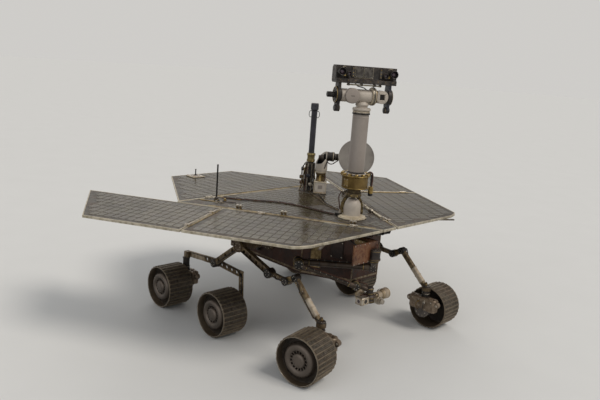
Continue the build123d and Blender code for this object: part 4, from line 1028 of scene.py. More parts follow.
def drilled(s, lo, hi, z0, z1, holes, r, mat, n=48):
    """Plate with four through holes: each quarter is a square rim round its hole, in n steps."""
    xs, ys = (lo[0], (lo[0] + hi[0]) / 2, hi[0]), (lo[1], (lo[1] + hi[1]) / 2, hi[1])
    side = n // 4
    for (i, j), hole in zip(product((0, 1), repeat=2), holes):
        corners = [Vector((xs[i + a], ys[j + b])) for a, b in ((1, 1), (0, 1), (0, 0), (1, 0))]
        rim = [corners[k // side].lerp(corners[(k // side + 1) % 4], k % side / side) for k in range(n)]
        turns = [2 * pi * k / n + pi / 4 for k in range(n)]
        bore = [Vector(hole) + Vector((cos(a), sin(a))) * r for a in turns]
        loops = [[s.vert((*p, z)) for p in row] for row, z in ((rim, z0), (bore, z0), (bore, z1), (rim, z1))]
        for k in range(n):
            l = (k + 1) % n
            for a, b in zip(loops, loops[1:]):
                s.face([a[k], a[l], b[l], b[k]], mat)
            if (j == 1, i == 0, j == 0, i == 1)[k // side]:
                s.face([loops[3][k], loops[3][l], loops[0][l], loops[0][k]], mat)


drilled(s, (x0, -y0), (x1, y0), z1 - 8, z1, HOLD_DOWN, 5.5, BEIGE)
for x, y in HOLD_DOWN:
    s.ring((x, y, z1 - 8), UPRIGHT, 9, 1.2, SILVER, 32, 6)
screws(s, range(-270, 151, 60), (-148, 148), (z1 - 7.8,), DOWN, 2.8, SILVER)
for y in (-60, 0, 60):
    beam(s, (x0 + 30, y, z1 - 9.5), (x1 - 30, y, z1 - 9.5), 4, 12, BEIGE)
s.done("belly_look", "chassis", "belly_plate")


# Hazard cameras. A small anodised box of two eyes hangs below the deck at the nose and another below the
# tail, each on a bronze foot; the lens barrels are screwed into its face.

g = Finish("coated_lens")
LENS = g.made(g.mix(g.band(g.noise(60, 2), 0.3, 0.7), linear("0a0710"), linear("3a2030")),
              g.band(g.noise(200, 2), 0.3, 0.7, 0.05, 0.12), 0.0, None, 0.6)


def eyes(s, x, sign, ys, y0, y1):
    """Box from y0 to y1 with two barrels at ys, that looks ahead or aft by its sign."""
    top = DECK_TOP - DECK_T - 0.3
    a, b = sorted((x, x + sign * 60))
    box(s, (a, y0, top - 46), (b, y1, top - 6), CHARCOAL, 3)
    box(s, (a + 6, y0 + 6, top - 6.5), (b - 6, y1 - 6, top - 0.5), BRONZE, 1.5)
    for y in ys:
        rings = [(15, 0), (15, 3), (12, 4), (12, 15), (13, 15.6), (13, 19.4), (11.4, 20), (10, 18), (8.4, 10),
                 (7, 9.4)]
        s.lathe((x + sign * 58, y, top - 26), (sign, 0, 0), rings, BLACK, 36)
        s.lathe((x + sign * 58, y, top - 26), (sign, 0, 0), [(7.4, 9.6), (6, 11.2), (3.4, 12.4), (1, 12.8)],
                LENS, 32)
        screws(s, (x + sign * 59.6,), (y - 17, y + 17), (top - 12,), (sign, 0, 0), 1.7, SILVER)
    tube(s, [(x + sign * 20, y0 + 12, top - 44), (x + sign * 18, y0 + 12, top - 60),
             (x + sign * 4, y0 + 18, top - 66), (x - sign * 1, y0 + 20, top - 60)], 2.6, COPPER)


for place, x, sign, ys, y0, y1 in (("front", 500.3, 1, (20, 72), 0, 92),
                                   ("rear", BODY_REAR_X - 0.3, -1, (-28, 28), -50, 50)):
    s = Shape()
    eyes(s, x, sign, ys, y0, y1)
    s.done("hazard_cameras_" + place + "_look", "chassis", "hazard_cameras_" + place)


# Mast. A flange and a dome on the deck turn the folded mast upright; an arched bracket behind them carries
# the canister of the yaw drive, and the camera mast is a painted tube that turns in it.

MX, MY = 376.0, 0.0
FOLD_Z, FOLD_BACK, TUBE_R, TUBE_TOP = 793.0, 46.0, 42.0, 1202.0
AMBER = metal("amber_anodised", "66512a", "877040", (0.3, 0.48), 0.6, 16, 400, 0.12, 0.12, 0.3, "b8a070")
IVORY = metal("ivory_flange", "9d907a", "beb198", (0.38, 0.55), 0.15, 20, 300, 0.1, 0.12, 0.3)
OLIVE = metal("olive_bronze", "231b10", "493a23", (0.35, 0.55), 0.6, 20, 400, 0.15, 0.12, 0.5, "b09c6c")


def heading(a):
    """Level direction at angle a from straight ahead."""
    return Vector((cos(a), sin(a), 0))


def spokes(n, start=0.0):
    """Directions that part a turn evenly."""
    return [heading(start + 2 * pi * k / n) for k in range(n)]


SEAT, MAST = DECK_TOP + 0.3, Matrix.Translation((MX, MY, 0))
s = Shape(MAST)
s.lathe((0, 0, SEAT), UPRIGHT, [(72, 0), (74, 1.2), (74, 5), (70, 6.5), (69, 10), (60, 13.6), (46, 14)],
        IVORY, 64)
s.lathe(CENTRE, UPRIGHT, [(44, SEAT + 12), (44, 712), (43.4, 724), (41, 735), (37, 744), (31, 752), (23, 758),
                          (14, 761.6), (5, 763)], WHITE, 64)
s.ring((0, 0, SEAT + 14), UPRIGHT, 45, 1.6, IVORY, 56, 8)
for u in spokes(12, 0.13):
    beam(s, u * 60 + rise(SEAT + 4), u * 78 + rise(SEAT + 4), 7, 13, IVORY, (-u.y, u.x, 0), 1.5)
    s.bolt(u * 71.5 + rise(SEAT + 6.8), UPRIGHT, 2.9, SILVER)
s.place = MAST @ yaw(-45)
outer = [(-62, SEAT + 12), (-61, 700), (-58, 722), (-50, 746), (-38, 765), (-24, FOLD_Z), (24, FOLD_Z),
         (38, 765), (50, 746), (58, 722), (61, 700), (62, SEAT + 12), (45, SEAT + 12), (44, 700), (38, 728),
         (28, 748), (14, 760), (-14, 760), (-28, 748), (-38, 728), (-44, 700), (-45, SEAT + 12)]


def arch_plate(s, pts, x0, x1, mat):
    """Arched cheek: the outline's outer half and inner half are joined strip by strip."""
    n = len(pts) // 2
    for x, flip in ((x0, 1), (x1, -1)):
        rows = [(s.vert((x, *pts[i])), s.vert((x, *pts[-1 - i]))) for i in range(n)]
        for a, b in zip(rows, rows[1:]):
            s.face([a[0], b[0], b[1], a[1]][::flip], mat)
    loop = [(s.vert((x0, *p)), s.vert((x1, *p))) for p in pts]
    for a, b in zip(loop, loop[1:] + loop[:1]):
        s.face([a[0], b[0], b[1], a[1]], mat)


arch_plate(s, outer, -60, -43, OLIVE)
box(s, (-52, -20, FOLD_Z - 22), (-20, 20, FOLD_Z), OLIVE, 2)
for i in range(2, 9):
    y, h = (outer[i][0] + outer[21 - i][0]) / 2, (outer[i][1] + outer[21 - i][1]) / 2
    s.bolt((-59.6, y, h), AFT, 2.6, SILVER)
    s.bolt((-43.4, y, h), AHEAD, 2.6, GOLD)
for y in (-50, 50):
    box(s, (-62, y - 7, SEAT), (-40, y + 7, SEAT + 26), OLIVE, 2)
    s.bolt((-61.6, y, SEAT + 17), AFT, 3, SILVER)
s.place = MAST
s.lathe((0, 0, FOLD_Z - 22), UPRIGHT, [(34, 0), (40, 2), (40, 20), (38.6, 22), (20, 22)], OLIVE, 48)
for u in spokes(8, pi / 8):
    s.bolt(u * 41 + rise(FOLD_Z - 11), u, 2.4, GOLD)
for e in (-1, 1):
    box(s, (-FOLD_BACK - 6, e * 14 - 6, FOLD_Z - 8), (-34, e * 14 + 6, FOLD_Z), OLIVE, 1)
    s.lathe((-FOLD_BACK, e * 14 - 6, FOLD_Z), ASIDE, [(5, 0), (6, 0.8), (6, 11.2), (5, 12)], SILVER, 24)
box(s, (-40, -52, SEAT), (-76, -30, SEAT + 18), BLACK, 2)
s.lathe((-50, -40, SEAT + 17), UPRIGHT, [(8, 0), (8, 10), (6, 12), (6, 18), (3, 20)], SILVER, 24)
tube(s, [(-50, -40, SEAT + 34), (-56, -42, 720), (-66, -40, 760), (-60, -30, 790)], 3, COPPER)
s.done("mast_base_look", "chassis", "mast_base")


# Mast canister. The housing of the yaw drive is turned from aluminium and anodised amber, with a crenellated
# rim; a loom leaves it for a plug with gold rings, and two hinge lugs below it fold the mast back.

s = Shape(MAST)
foot = FOLD_Z + 0.3
s.lathe((0, 0, foot), UPRIGHT, [(34, 0), (36, 1), (36, 24.7)], OLIVE, 48)
s.lathe(CENTRE, UPRIGHT, [(36, 818), (64, 818), (67, 819.5), (68, 822), (68, 878), (69, 881), (74, 882.5),
                          (77, 884), (78, 886), (78, 891), (60, 891), (58, 887), (54, 887), (50, 887)], AMBER,
        72)
s.ring((0, 0, 824), UPRIGHT, 68, 1.1, GOLD, 72, 6)
s.ring((0, 0, 887), UPRIGHT, 77.4, 1.2, GOLD, 72, 6)
for k, u in enumerate(spokes(24)):
    if k % 2:
        beam(s, u * 59 + rise(895), u * 77.4 + rise(895), 9.6, 15, GOLD, (-u.y, u.x, 0), 1.4)
        s.bolt(u * 69 + rise(897.2), UPRIGHT, 2.6, SILVER, 2.2)
    else:
        s.bolt(u * 70 + rise(891), UPRIGHT, 2.8, SILVER)
s.lathe(CENTRE, UPRIGHT, [(56, 889), (56, 897), (54, 899), (49, 899), (47, 897), (47, 889)], WHITE, 56)
s.lathe(CENTRE, UPRIGHT, [(60, 889), (60, 893.5), (57, 894)], BLACK, 56)
for e in (-1, 1):
    beam(s, (0, e * 69.5, 830), (0, e * 69.5, 874), 30, 5, AMBER, ASIDE, 2)
    screws(s, (-9, 9), (e * 71.6,), (836, 868), (0, e, 0), 2.2, SILVER)
half_lug = 7.7
box(s, (-FOLD_BACK - 2, -half_lug, foot), (-26, half_lug, foot + 6), OLIVE, 1)
s.lathe((-FOLD_BACK, -half_lug, FOLD_Z), ASIDE, [(5, 0), (6, 0.8), (6, 2 * half_lug - 0.8),
        (5, 2 * half_lug)], SILVER, 24)
away = heading(radians(52))
tube(s, [away * 62 + rise(896), away * 76 + rise(905), away * 90 + rise(896), away * 93 + rise(870),
         away * 92 + rise(842), away * 90 + rise(829)], 4.6, COPPER, 14)
tube(s, [away * 60 + Vector((4, -5, 896)), away * 72 + Vector((6, -7, 902)), away * 84 + Vector((6, -8, 890)),
         away * 86 + Vector((5, -7, 862)), away * 86 + Vector((3, -3, 829))], 3.2, BLACK, 12)
s.lathe(away * 88 + rise(792), UPRIGHT, [(11, 0), (13, 1.5), (13, 13), (14.5, 14), (14.5, 20), (12, 21),
                                         (12, 24), (14, 25), (14, 29), (11.5, 30), (11.5, 33), (13, 34),
                                         (13, 37), (9, 38.6)], GOLD, 36)
s.lathe(away * 88 + rise(778), UPRIGHT, [(9, 0), (12, 2), (12, 14.5)], BLACK, 32)
beam(s, away * 64 + rise(822), away * 82 + rise(812), 8, 16, OLIVE, (-away.y, away.x, 0), 2)
s.done("mast_canister_look", "mast_post", "mast_canister")


# Mast tube. A thin-walled tube, painted a dull warm grey, stands in the canister with a black seal at its
# foot and carries the leads of the head inside.

s = Shape(MAST)
PAINT = metal("mast_paint", "7a7169", "8b827a", (0.45, 0.6), 0.0, 5, 260, 0.05, 0.08, 0.05, "b3a99c")
s.lathe(CENTRE, UPRIGHT, [(40, 900.3), (TUBE_R, 902), (TUBE_R, 1196), (TUBE_R - 0.8, 1198),
                          (TUBE_R - 1.2, TUBE_TOP)], PAINT, 96)
s.ring((0, 0, 905), UPRIGHT, TUBE_R + 0.4, 1.8, BLACK, 72, 8)
s.ring((0, 0, 1190), UPRIGHT, TUBE_R + 0.2, 0.9, WHITE, 72, 6)
s.done("mast_tube_look", "mast", "mast_tube")


# Head. The yoke's collars and the tilt drive across it are bright machined and painted parts: a plain round
# cover on the right, clamp rings and a square-mouthed window on the left.

TILT_Z, COVER_Y, WINDOW_Y, HEAD = 1295.0, -69, 93, MAST @ yaw(-29)
WARM = metal("warm_grey_paint", "7d736b", "8f857c", (0.45, 0.62), 0.0, 8, 300, 0.08, 0.12, 0.1, "c9c2b4")
s = Shape(HEAD)
z0 = TUBE_TOP + 0.3
s.lathe((0, 0, z0), UPRIGHT, [(43, 0), (46, 1), (46, 6.5), (44.5, 8)], BLACK, 64)
s.lathe((0, 0, z0), UPRIGHT, [(38, 7), (38, 18)], SILVER, 64)
for h, r in ((9.6, 44), (13.6, 44.6), (17.4, 43)):
    s.ring((0, 0, z0 + h), UPRIGHT, r - 2, 2.4, SILVER if h != 13.6 else IVORY, 64, 8)
s.lathe((0, 0, z0), UPRIGHT, [(40, 19), (46, 20), (47, 22), (47, 29), (45, 32), (34, 35), (29, 37),
                              (28.4, 40), (33, 45), (34.6, 50), (32, 57), (25, 64), (20, 67)], WHITE, 64)
s.bolts((0, 0, z0 + 33), UPRIGHT, 39.5, 10, 2.2, SILVER)
arm_in = 126.7
s.lathe((0, 0, TILT_Z), ASIDE, [(29, -arm_in + 4), (33, -arm_in + 6), (33, -88), (31, -86), (31, -50),
                                (33, -48), (33, 40), (31.4, 42)], WHITE, 64)
s.lathe((0, 0, TILT_Z), ASIDE, [(16, -arm_in), (16, arm_in)], SILVER, 40)
for y, r, mat in ((43, 44, IVORY), (47.5, 46.6, SILVER), (52, 44.5, BLACK), (56.5, 46, IVORY),
                  (61, 43, BRONZE)):
    s.lathe((0, y - 2, TILT_Z), ASIDE, [(r - 2, 0), (r, 0.9), (r, 3.1), (r - 2, 4)], mat, 64)
s.lathe((0, 0, TILT_Z), ASIDE, [(35, 41), (38, 43), (38, 60), (36, 62)], SILVER, 56)
s.bolts((0, 63, TILT_Z), ASIDE, 33, 8, 2.2, SILVER)
s.lathe((14, COVER_Y, TILT_Z), AHEAD, [(36, 0), (38, 2), (38, 28), (37, 30.4), (34, 32), (6, 32)], WARM, 64)
# Thin black strip on the cover: a slot drawn as painted shade.
box(s, (45.6, COVER_Y - 10, TILT_Z - 2.2), (46.6, COVER_Y + 10, TILT_Z + 0.4), BLACK, 0.3)
s.ring((42, COVER_Y, TILT_Z), AHEAD, 37.6, 0.9, PAINT, 56, 6)
s.lathe((-14, WINDOW_Y, TILT_Z), AHEAD, [(20, 0), (31, 0), (33, 2), (33, 50), (31, 52), (20, 52)], WHITE, 56,
        closed=True)
for lo, hi in (((20, 72, TILT_Z + 14), (39.4, 114, TILT_Z + 22)),
               ((20, 72, TILT_Z - 22), (39.4, 114, TILT_Z - 14)),
               ((20, 72, TILT_Z - 15), (39.4, 79, TILT_Z + 15)),
               ((20, 107, TILT_Z - 15), (39.4, 114, TILT_Z + 15))):
    box(s, lo, hi, WHITE, 1.6)
box(s, (-10, 78, TILT_Z - 15), (26, 108, TILT_Z + 15), BLACK, 0.8)
screws(s, (39,), (76, 110), (TILT_Z - 18, TILT_Z + 18), AHEAD, 1.9, SILVER)
s.lathe((-2, WINDOW_Y, TILT_Z), ASIDE, [(30, -22), (32, -20), (32, -14), (30, -12)], SILVER, 48)
tube(s, [(-30, 40, TILT_Z + 10), (-44, 20, TILT_Z), (-46, -10, TILT_Z - 30), (-44, -6, TILT_Z - 62),
         (-40, 0, z0 + 26)], 3.2, COPPER, 12)
tube(s, [(-30, 52, TILT_Z + 6), (-48, 30, TILT_Z - 8), (-52, 0, TILT_Z - 36), (-48, 4, TILT_Z - 66),
         (-42, 8, z0 + 24)], 2.6, BLACK, 12)
s.done("head_yoke_look", "mast", "head_yoke")


# Camera bar. A dark anodised bar carries two wide eyes at its ends with two panoramic cameras inboard of
# them, and turns on two rounded arms; thin pale rods run below its shelf.

s = Shape(HEAD)
half, d, zb, ARM_Y_IN, ARM_Y_OUT = 161.0, 37.5, TILT_Z + 106, 127, 143
HEAD_BLACK = metal("camera_bar_black", "120f0d", "211c19", (0.38, 0.6), 0.3, 14, 300, 0.12, 0.1, 0.4,
                   "6a6058")
SLATE = metal("slate_anodised", "1f2025", "33353d", (0.35, 0.55), 0.4, 14, 300, 0.12, 0.1, 0.4, "63646f")
PANEL = metal("panel_grey_brown", "2a2521", "322c27", (0.45, 0.6), 0.15, 6, 260, 0.05, 0.08, 0.1)


def rod(s, p, q, r, mat, n=24):
    """Round bar from p to q with its ends broken by a small chamfer."""
    p, run = Vector(p), Vector(q) - Vector(p)
    cut = min(1.2, r * 0.3, run.length * 0.3)
    s.lathe(p, run, [(r - cut, 0), (r, cut), (r, run.length - cut), (r - cut, run.length)], mat, n)


profile = [(-d + 8, -45), (d + 2, -45), (d + 4, -43), (d + 4, -23), (d + 2, -21), (d - 5, -19), (d - 6, -17),
           (d - 6, 39), (d - 8, 41), (-d + 12, 41), (-d, 29), (-d, -37)]
prism(s, profile, ((0, half, zb), AHEAD, UPRIGHT), 0, 2 * half, HEAD_BLACK, 2.0)
box(s, (-d + 13, -half + 2, zb + 40.4), (d - 8, half - 2, zb + 41), PANEL, 0.4)
face = d - 6
for y0, y1 in ((-16, 30), (-62, -19)):
    box(s, (face - 1, y0, zb - 16), (face + 2.4, y1, zb + 36), PANEL, 1)
for y in (-64, -17.5, 32):
    box(s, (face - 1, y - 0.6, zb - 17), (face + 3.2, y + 0.6, zb + 37), TRIM, 0.3)
box(s, (face - 1, -64, zb - 17.6), (face + 3.4, 33, zb - 16.4), TRIM, 0.3)
screws(s, (face + 2,), (-55, -26, -8, 22), (zb - 11, zb + 31), AHEAD, 1.6, SILVER)
for e in (-1, 1):
    prism(s, [(-30, -34), (30, -34), (26, 34), (-24, 34)], ((0, e * half, zb), AHEAD, UPRIGHT), -1.6, 1.6,
          HEAD_BLACK, 1)
    screws(s, (-22, 22), (e * (half + 1),), (zb - 27, zb + 27), (0, e, 0), 1.9, SILVER)
screws(s, (d + 3.6,), range(-140, 141, 40), (zb - 31,), AHEAD, 1.9, BRONZE)
for x, h in ((27, -50.5), (12, -53)):
    rod(s, (x, -96, zb + h), (x, 86, zb + h), 2.7, TRIM, 14)
for y in (-90, -20, 50, 80):
    box(s, (6, y - 3, zb - 57), (32, y + 3, zb - 44), CHARCOAL, 1)
for e in (-1, 1):
    y0, y1 = e * ARM_Y_IN, e * ARM_Y_OUT
    arm = [(-24, 66), (-28, 30), (-36, 14), (-36, -12), (-26, -34), (-17, -66), (-8, -80), (8, -80),
           (17, -66), (26, -34), (36, -12), (36, 14), (28, 30), (24, 66)]
    prism(s, arm, ((0, max(y0, y1), TILT_Z), AHEAD, UPRIGHT), 0, 16, SLATE if e > 0 else HEAD_BLACK, 2.5)
    out = (0, e, 0)
    s.lathe((0, y0, TILT_Z), out, [(38, -1), (41, 0), (42, 1), (42, 19), (41, 21), (37, 22.6), (36, 21),
                                   (14, 21), (13, 24), (3, 24)], HEAD_BLACK, 64)
    s.ring((0, y0 + e * 21.4, TILT_Z), out, 39.4, 1.7, GOLD, 64, 8)
    s.ring((0, y0 + e * 21, TILT_Z), out, 27, 1.0, CHARCOAL, 48, 6)
    s.bolts((0, y0 + e * 20.6, TILT_Z), out, 31.5, 8, 2.2, SILVER)
    if e < 0:
        s.lathe((0, y0 - 20, TILT_Z), out, [(19, 0), (19, 4), (16, 5), (14, 6), (14, 42), (12.6, 44), (5, 44),
                                            (4, 42)], BLACK, 40)
        s.ring((0, y0 - 46, TILT_Z), out, 14, 0.9, CHARCOAL, 40, 6)
    s.lathe((0, y0 - e * 6, TILT_Z - 66), out, [(14, 0), (17, 2), (17, 26), (15, 28), (6, 28.6)], HEAD_BLACK,
            40)
    s.ring((0, y0 - e * 2, TILT_Z - 66), out, 16.4, 1.1, BRONZE, 36, 6)
tube(s, [(-20, 60, zb - 40), (-34, 66, zb - 60), (-36, 60, TILT_Z + 30), (-30, 52, TILT_Z + 14)], 3, COPPER,
     12)
tube(s, [(-24, -40, zb - 40), (-38, -20, zb - 58), (-40, 20, TILT_Z + 38), (-32, 40, TILT_Z + 20)], 2.6,
     BLACK, 12)
# loops of the eyes' leads on the bar's face
for e in (-1, 1):
    y = e * 114
    tube(s, [(face, y, zb + 30), (face + 8, y + e * 6, zb + 36), (face + 11, y + e * 16, zb + 34),
             (face + 8, y + e * 20, zb + 26), (face, y + e * 20, zb + 20)], 1.6, TRIM, 8)
    box(s, (face - 1, e * 74 - 6, zb - 14), (face + 5, e * 74 + 6, zb + 34), PANEL, 1)
    screws(s, (face + 4.6,), (e * 74,), (zb - 8, zb + 8, zb + 28), AHEAD, 1.9, GOLD)
    box(s, (face - 1, e * 118 - 7, zb - 12), (face + 6, e * 118 + 7, zb + 2), GOLD, 1.4)
s.done("camera_bar_look", "camera_head", "camera_bar")


# Camera eyes. The wide pair sits at the ends of the bar and the panoramic pair inboard of it; each barrel is
# turned and blackened, holds a coated lens, and is clamped to the bar's face by a thin ring.

s = Shape(HEAD)
front, WIDE_Y, PANORAMIC_Y = face + 3.3, 138, 98
for e in (-1, 1):
    big = [(18, 0), (20, 1.2), (20, 16), (19, 17), (19, 20), (20, 20.8), (20, 25), (18.6, 26), (16.6, 25),
           (13.6, 13), (12, 12.2)]
    s.lathe((front, e * WIDE_Y, zb + 10), AHEAD, big, BLACK, 56)
    s.lathe((front, e * WIDE_Y, zb + 10), AHEAD, [(12.4, 12.4), (10, 15), (6, 16.8), (1, 17.4)], LENS, 48)
    s.ring((front + 24, e * WIDE_Y, zb + 10), AHEAD, 18.6, 0.9, SILVER if e > 0 else BRONZE, 48, 6)
    small = [(12, 0), (14, 1), (14, 11), (13, 12), (13, 14.4), (11.4, 15), (9.6, 13.6), (8, 8)]
    s.lathe((front, e * PANORAMIC_Y, zb), AHEAD, small, BLACK, 48)
    s.lathe((front, e * PANORAMIC_Y, zb), AHEAD, [(8.4, 8.2), (6, 9.8), (1, 10.6)], LENS, 40)
    s.ring((front + 13.6, e * PANORAMIC_Y, zb), AHEAD, 12.4, 0.9, BRONZE, 40, 6)
s.done("camera_lens_look", "camera_head", "camera_lenses")


# High-gain antenna. A white box on the deck carries the turning neck and a faired gimbal, open at one side;
# its tilt drive holds the round antenna, a flat disc with a ribbed back.

DX, DY, TURN_Z, AXIS_Z = DECK_REAR_X + 193.6, 300.0, 785.0, 889.0
PEDESTAL = Matrix.Translation((DX, DY, 0)) @ yaw(44)
s = Shape(PEDESTAL)
box(s, (-40, -40, SEAT), (40, 40, SEAT + 10), BEIGE, 3)
screws(s, (-35, 35), (-35, 0, 35), (SEAT + 9.8,), UPRIGHT, 2.6, SILVER)
prism(s, [(-30, -34), (34, -34), (34, 30), (30, 34), (-34, 34), (-34, -30)], (CENTRE, AHEAD, ASIDE),
      SEAT + 9.5, 730, WHITE, 2.5)
prism(s, [(-36, -36), (36, -36), (36, 36), (-36, 36)], (CENTRE, AHEAD, ASIDE), 727, 734, IVORY, 1.5)
for a, b in ((36, -30), (36, 30), (-36, -30)):
    beam(s, (a, b, SEAT + 8), (a, b, 744), 5, 6, IVORY, ASIDE, 1)
screws(s, (33.8,), (-26, 26), (676, 718), AHEAD, 2.0, SILVER)
screws(s, (-26, 26), (-33.8,), (676, 718), OUTWARD, 2.0, SILVER)
box(s, (-12, -35.5, 690), (14, -33, 712), PAINT, 0.8)
s.lathe(CENTRE, UPRIGHT, [(27, 733), (28, 735), (24.6, 744), (24, 748), (24, 768), (25, 771), (30, 773),
                          (31, 775), (31, 783.6), (30, 785)], BRONZE, 56)
s.bolts((0, 0, 772.6), DOWN, 27.6, 8, 2.0, SILVER)
for u in map(heading, (0.4, 2.5, 4.6)):
    beam(s, u * 29 + rise(735), u * 27.5 + rise(772), 5, 12, GOLD, (-u.y, u.x, 0), 1)
tube(s, [(20, -24, 736), (27, -27, 746), (29, -24, 764), (26, -22, 776)], 2.6, COPPER)
s.done("dish_pedestal_look", "chassis", "dish_pedestal")


# Gimbal of the high-gain antenna. A painted fairing, cut off aslant, turns on the pedestal; the black tilt
# drive that lies across it is built of turned rings and holds the antenna's arm.

s = Shape(PEDESTAL)


def slant(r, z, lift, n=56):
    """Ring of the fairing that climbs by lift towards 40 degrees."""
    return [(r * u.x, r * u.y, z + lift * u.dot(heading(radians(40)))) for u in spokes(n)]


rows = [slant(29, TURN_Z + 0.3, 0), slant(31, TURN_Z + 1.5, 0), slant(34.6, TURN_Z + 14, 0),
        slant(36, TURN_Z + 22, 0), slant(36, 840, 4), slant(36, 862, 20), slant(35.4, 870, 34),
        slant(34, 873, 40), slant(32, 874.5, 41), slant(30, 873, 40), slant(29.4, 866, 36)]
s.skin(rows, WHITE, caps=False)
s.face([s.vert(p) for p in rows[0]][::-1], WHITE)
rows = [slant(29.4, 866, 36), slant(29.2, 835, 10)]
s.skin(rows, BLACK, caps=False)
s.face([s.vert(p) for p in rows[1]], BLACK)
s.lathe((0, 0, TURN_Z + 0.3), UPRIGHT, [(31.4, 3), (33.4, 4), (33.8, 9), (33, 10)], IVORY, 56)
s.ring((0, 0, TURN_Z + 24), UPRIGHT, 36, 0.9, IVORY, 56, 6)
s.lathe((-22, 0, AXIS_Z - 10), AHEAD, [(12, 0), (15, 1.5), (15, 12), (20, 13), (20, 30), (18, 32)], CHARCOAL,
        40)
s.ring((-14, 0, AXIS_Z - 10), AHEAD, 15, 1.4, COPPER, 40, 6)
s.lathe((20, 0, AXIS_Z), AHEAD, [(25, 0), (28, 2), (29, 4), (29, 18), (27.4, 19), (27.4, 38), (29, 39),
                                 (29, 50), (27, 54), (21, 54), (21, 88), (20, 90), (9, 92)], CHARCOAL, 56)
for x, r, wire, mat in ((26, 28.6, 2.4, WHITE), (40, 27.6, 1.4, BLACK), (55, 27.6, 1.4, BLACK),
                        (67, 28.8, 1.8, IVORY), (82, 21, 1.2, SILVER), (98, 21, 1.2, SILVER)):
    s.ring((x, 0, AXIS_Z), AHEAD, r, wire, mat, 56, 8)
for u in spokes(10):
    s.bolt((73.6, 24.4 * u.x, AXIS_Z + 24.4 * u.y), AHEAD, 1.6, SILVER)
tube(s, [(30, -14, AXIS_Z - 26), (44, -20, AXIS_Z - 40), (64, -18, AXIS_Z - 42), (84, -8, AXIS_Z - 30),
         (98, -4, AXIS_Z - 21)], 3, COPPER, 12)
tube(s, [(16, -30, TURN_Z + 30), (24, -34, TURN_Z + 50), (30, -26, TURN_Z + 72), (36, -18, AXIS_Z - 20)], 2.4,
     BLACK, 12)
s.done("dish_gimbal_look", "dish_turntable", "dish_gimbal")


# Antenna disc. A flat disc, painted grey, with three thin rings on its face and a spun back that eight ribs
# stiffen; its arm is a blackened tube clamped in the tilt drive.

TILT = radians(16)
LEAN = Matrix((AHEAD, (0, sin(TILT), -cos(TILT)), (0, cos(TILT), sin(TILT)))).to_4x4()
AWAY = PEDESTAL @ Matrix.Translation((205, 0, AXIS_Z)) @ LEAN
SAND = metal("antenna_grey", "6f6963", "857f77", (0.45, 0.6), 0.15, 10, 260, 0.08, 0.1, 0.15)
s = Shape(AWAY)
s.lathe(CENTRE, UPRIGHT, [(21, -20), (24, -18), (25, 6), (30, 27), (40, 31), (104, 42.6), (107, 44.6),
                          (108, 47), (108, 53), (107, 55), (103, 55), (102.4, 53.4), (98, 53.2), (22, 53.2),
                          (20, 51.6)], SAND, 96)
s.ring((0, 0, 49.6), UPRIGHT, 107.2, 0.8, TRIM, 96, 6)
for u in spokes(8, 0.2):
    beam(s, u * 26 + rise(24), u * 100 + rise(40.4), 7, 4, SAND, (-u.y, u.x, 0), 0.8)
s.ring((0, 0, 36.4), UPRIGHT, 66, 2.2, SAND, 72, 6)
s.bolts((0, 0, -19.6), DOWN, 15, 6, 2.4, SILVER)
for r in (30, 60, 88):
    s.ring((0, 0, 53.0), UPRIGHT, r, 0.7, SAND, 72, 6)
s.lathe((0, 0, 51), UPRIGHT, [(16, 0), (16, 2.6), (12, 3.6)], WHITE, 40)
s.place = PEDESTAL
s.lathe((112.3, 0, AXIS_Z), AHEAD, [(14, 0), (17, 1), (17, 10), (15.4, 11), (15.4, 70), (18, 72), (18, 88),
                                    (15, 92)], CHARCOAL, 40)
s.ring((118, 0, AXIS_Z), AHEAD, 17, 1.2, SILVER, 40, 6)
tube(s, [(120, -8, AXIS_Z - 15), (140, -14, AXIS_Z - 24), (164, -6, AXIS_Z - 26), (184, 8, AXIS_Z - 18)], 2.8,
     COPPER, 12)
s.done("dish_look", "dish", "dish")


# Low-gain antenna. A dark tube stands in a gold collar on a bracket of drilled plates, braced by struts and
# crowded by connectors; two small lead loops stand out below its knurled cap.

LX, LY, LOW_TOP = DECK_REAR_X + 100.6, 298.0, 1202.0
COLLAR = metal("collar_olive_gold", "5f5436", "81744c", (0.35, 0.5), 0.6, 20, 400, 0.12, 0.12, 0.4, "b8ac80")
BLUE_GREY = metal("blue_grey_tube", "25252b", "3e3d44", (0.4, 0.55), 0.3, 10, 300, 0.08, 0.2, 0.2, "75747c")
s = Shape(Matrix.Translation((LX, LY, 0)))
s.lathe((0, 0, SEAT), UPRIGHT, [(32, 0), (34, 1), (34, 5), (32, 6.5), (26, 7), (26, 11), (20, 13), (19, 16),
                                (19, 60), (17, 62), (17, 150), (19, 152), (19, 184)], CHARCOAL, 48)
s.bolts((0, 0, SEAT + 6), UPRIGHT, 29, 8, 2.4, SILVER)
s.lathe(CENTRE, UPRIGHT, [(19, 838), (25, 840), (26, 843), (26, 850), (24, 852), (23, 856), (23, 878),
                          (24, 881), (26, 883), (26, 891), (24, 894), (18, 895.6)], COLLAR, 56)
for h, mat in ((846, GOLD), (854, BRONZE), (879, BRONZE), (887, GOLD)):
    s.ring((0, 0, h), UPRIGHT, 25.4, 1.0, mat, 56, 6)
s.lathe(CENTRE, UPRIGHT, [(18, 894), (18, 1154), (18.6, 1157), (21, 1160), (23, 1162), (23, 1198),
                          (22, 1200.6), (18, LOW_TOP), (6, LOW_TOP)], BLUE_GREY, 48)
for u in spokes(28):
    beam(s, u * 23 + rise(1166), u * 23 + rise(1194), 1.6, 2.4, BLUE_GREY, (-u.y, u.x, 0), 0.5)
for h in (905, 1010, 1120):
    s.ring((0, 0, h), UPRIGHT, 18.3, 1.0, BLACK, 40, 6)
across_view = Vector((0.71, 0.7, 0))
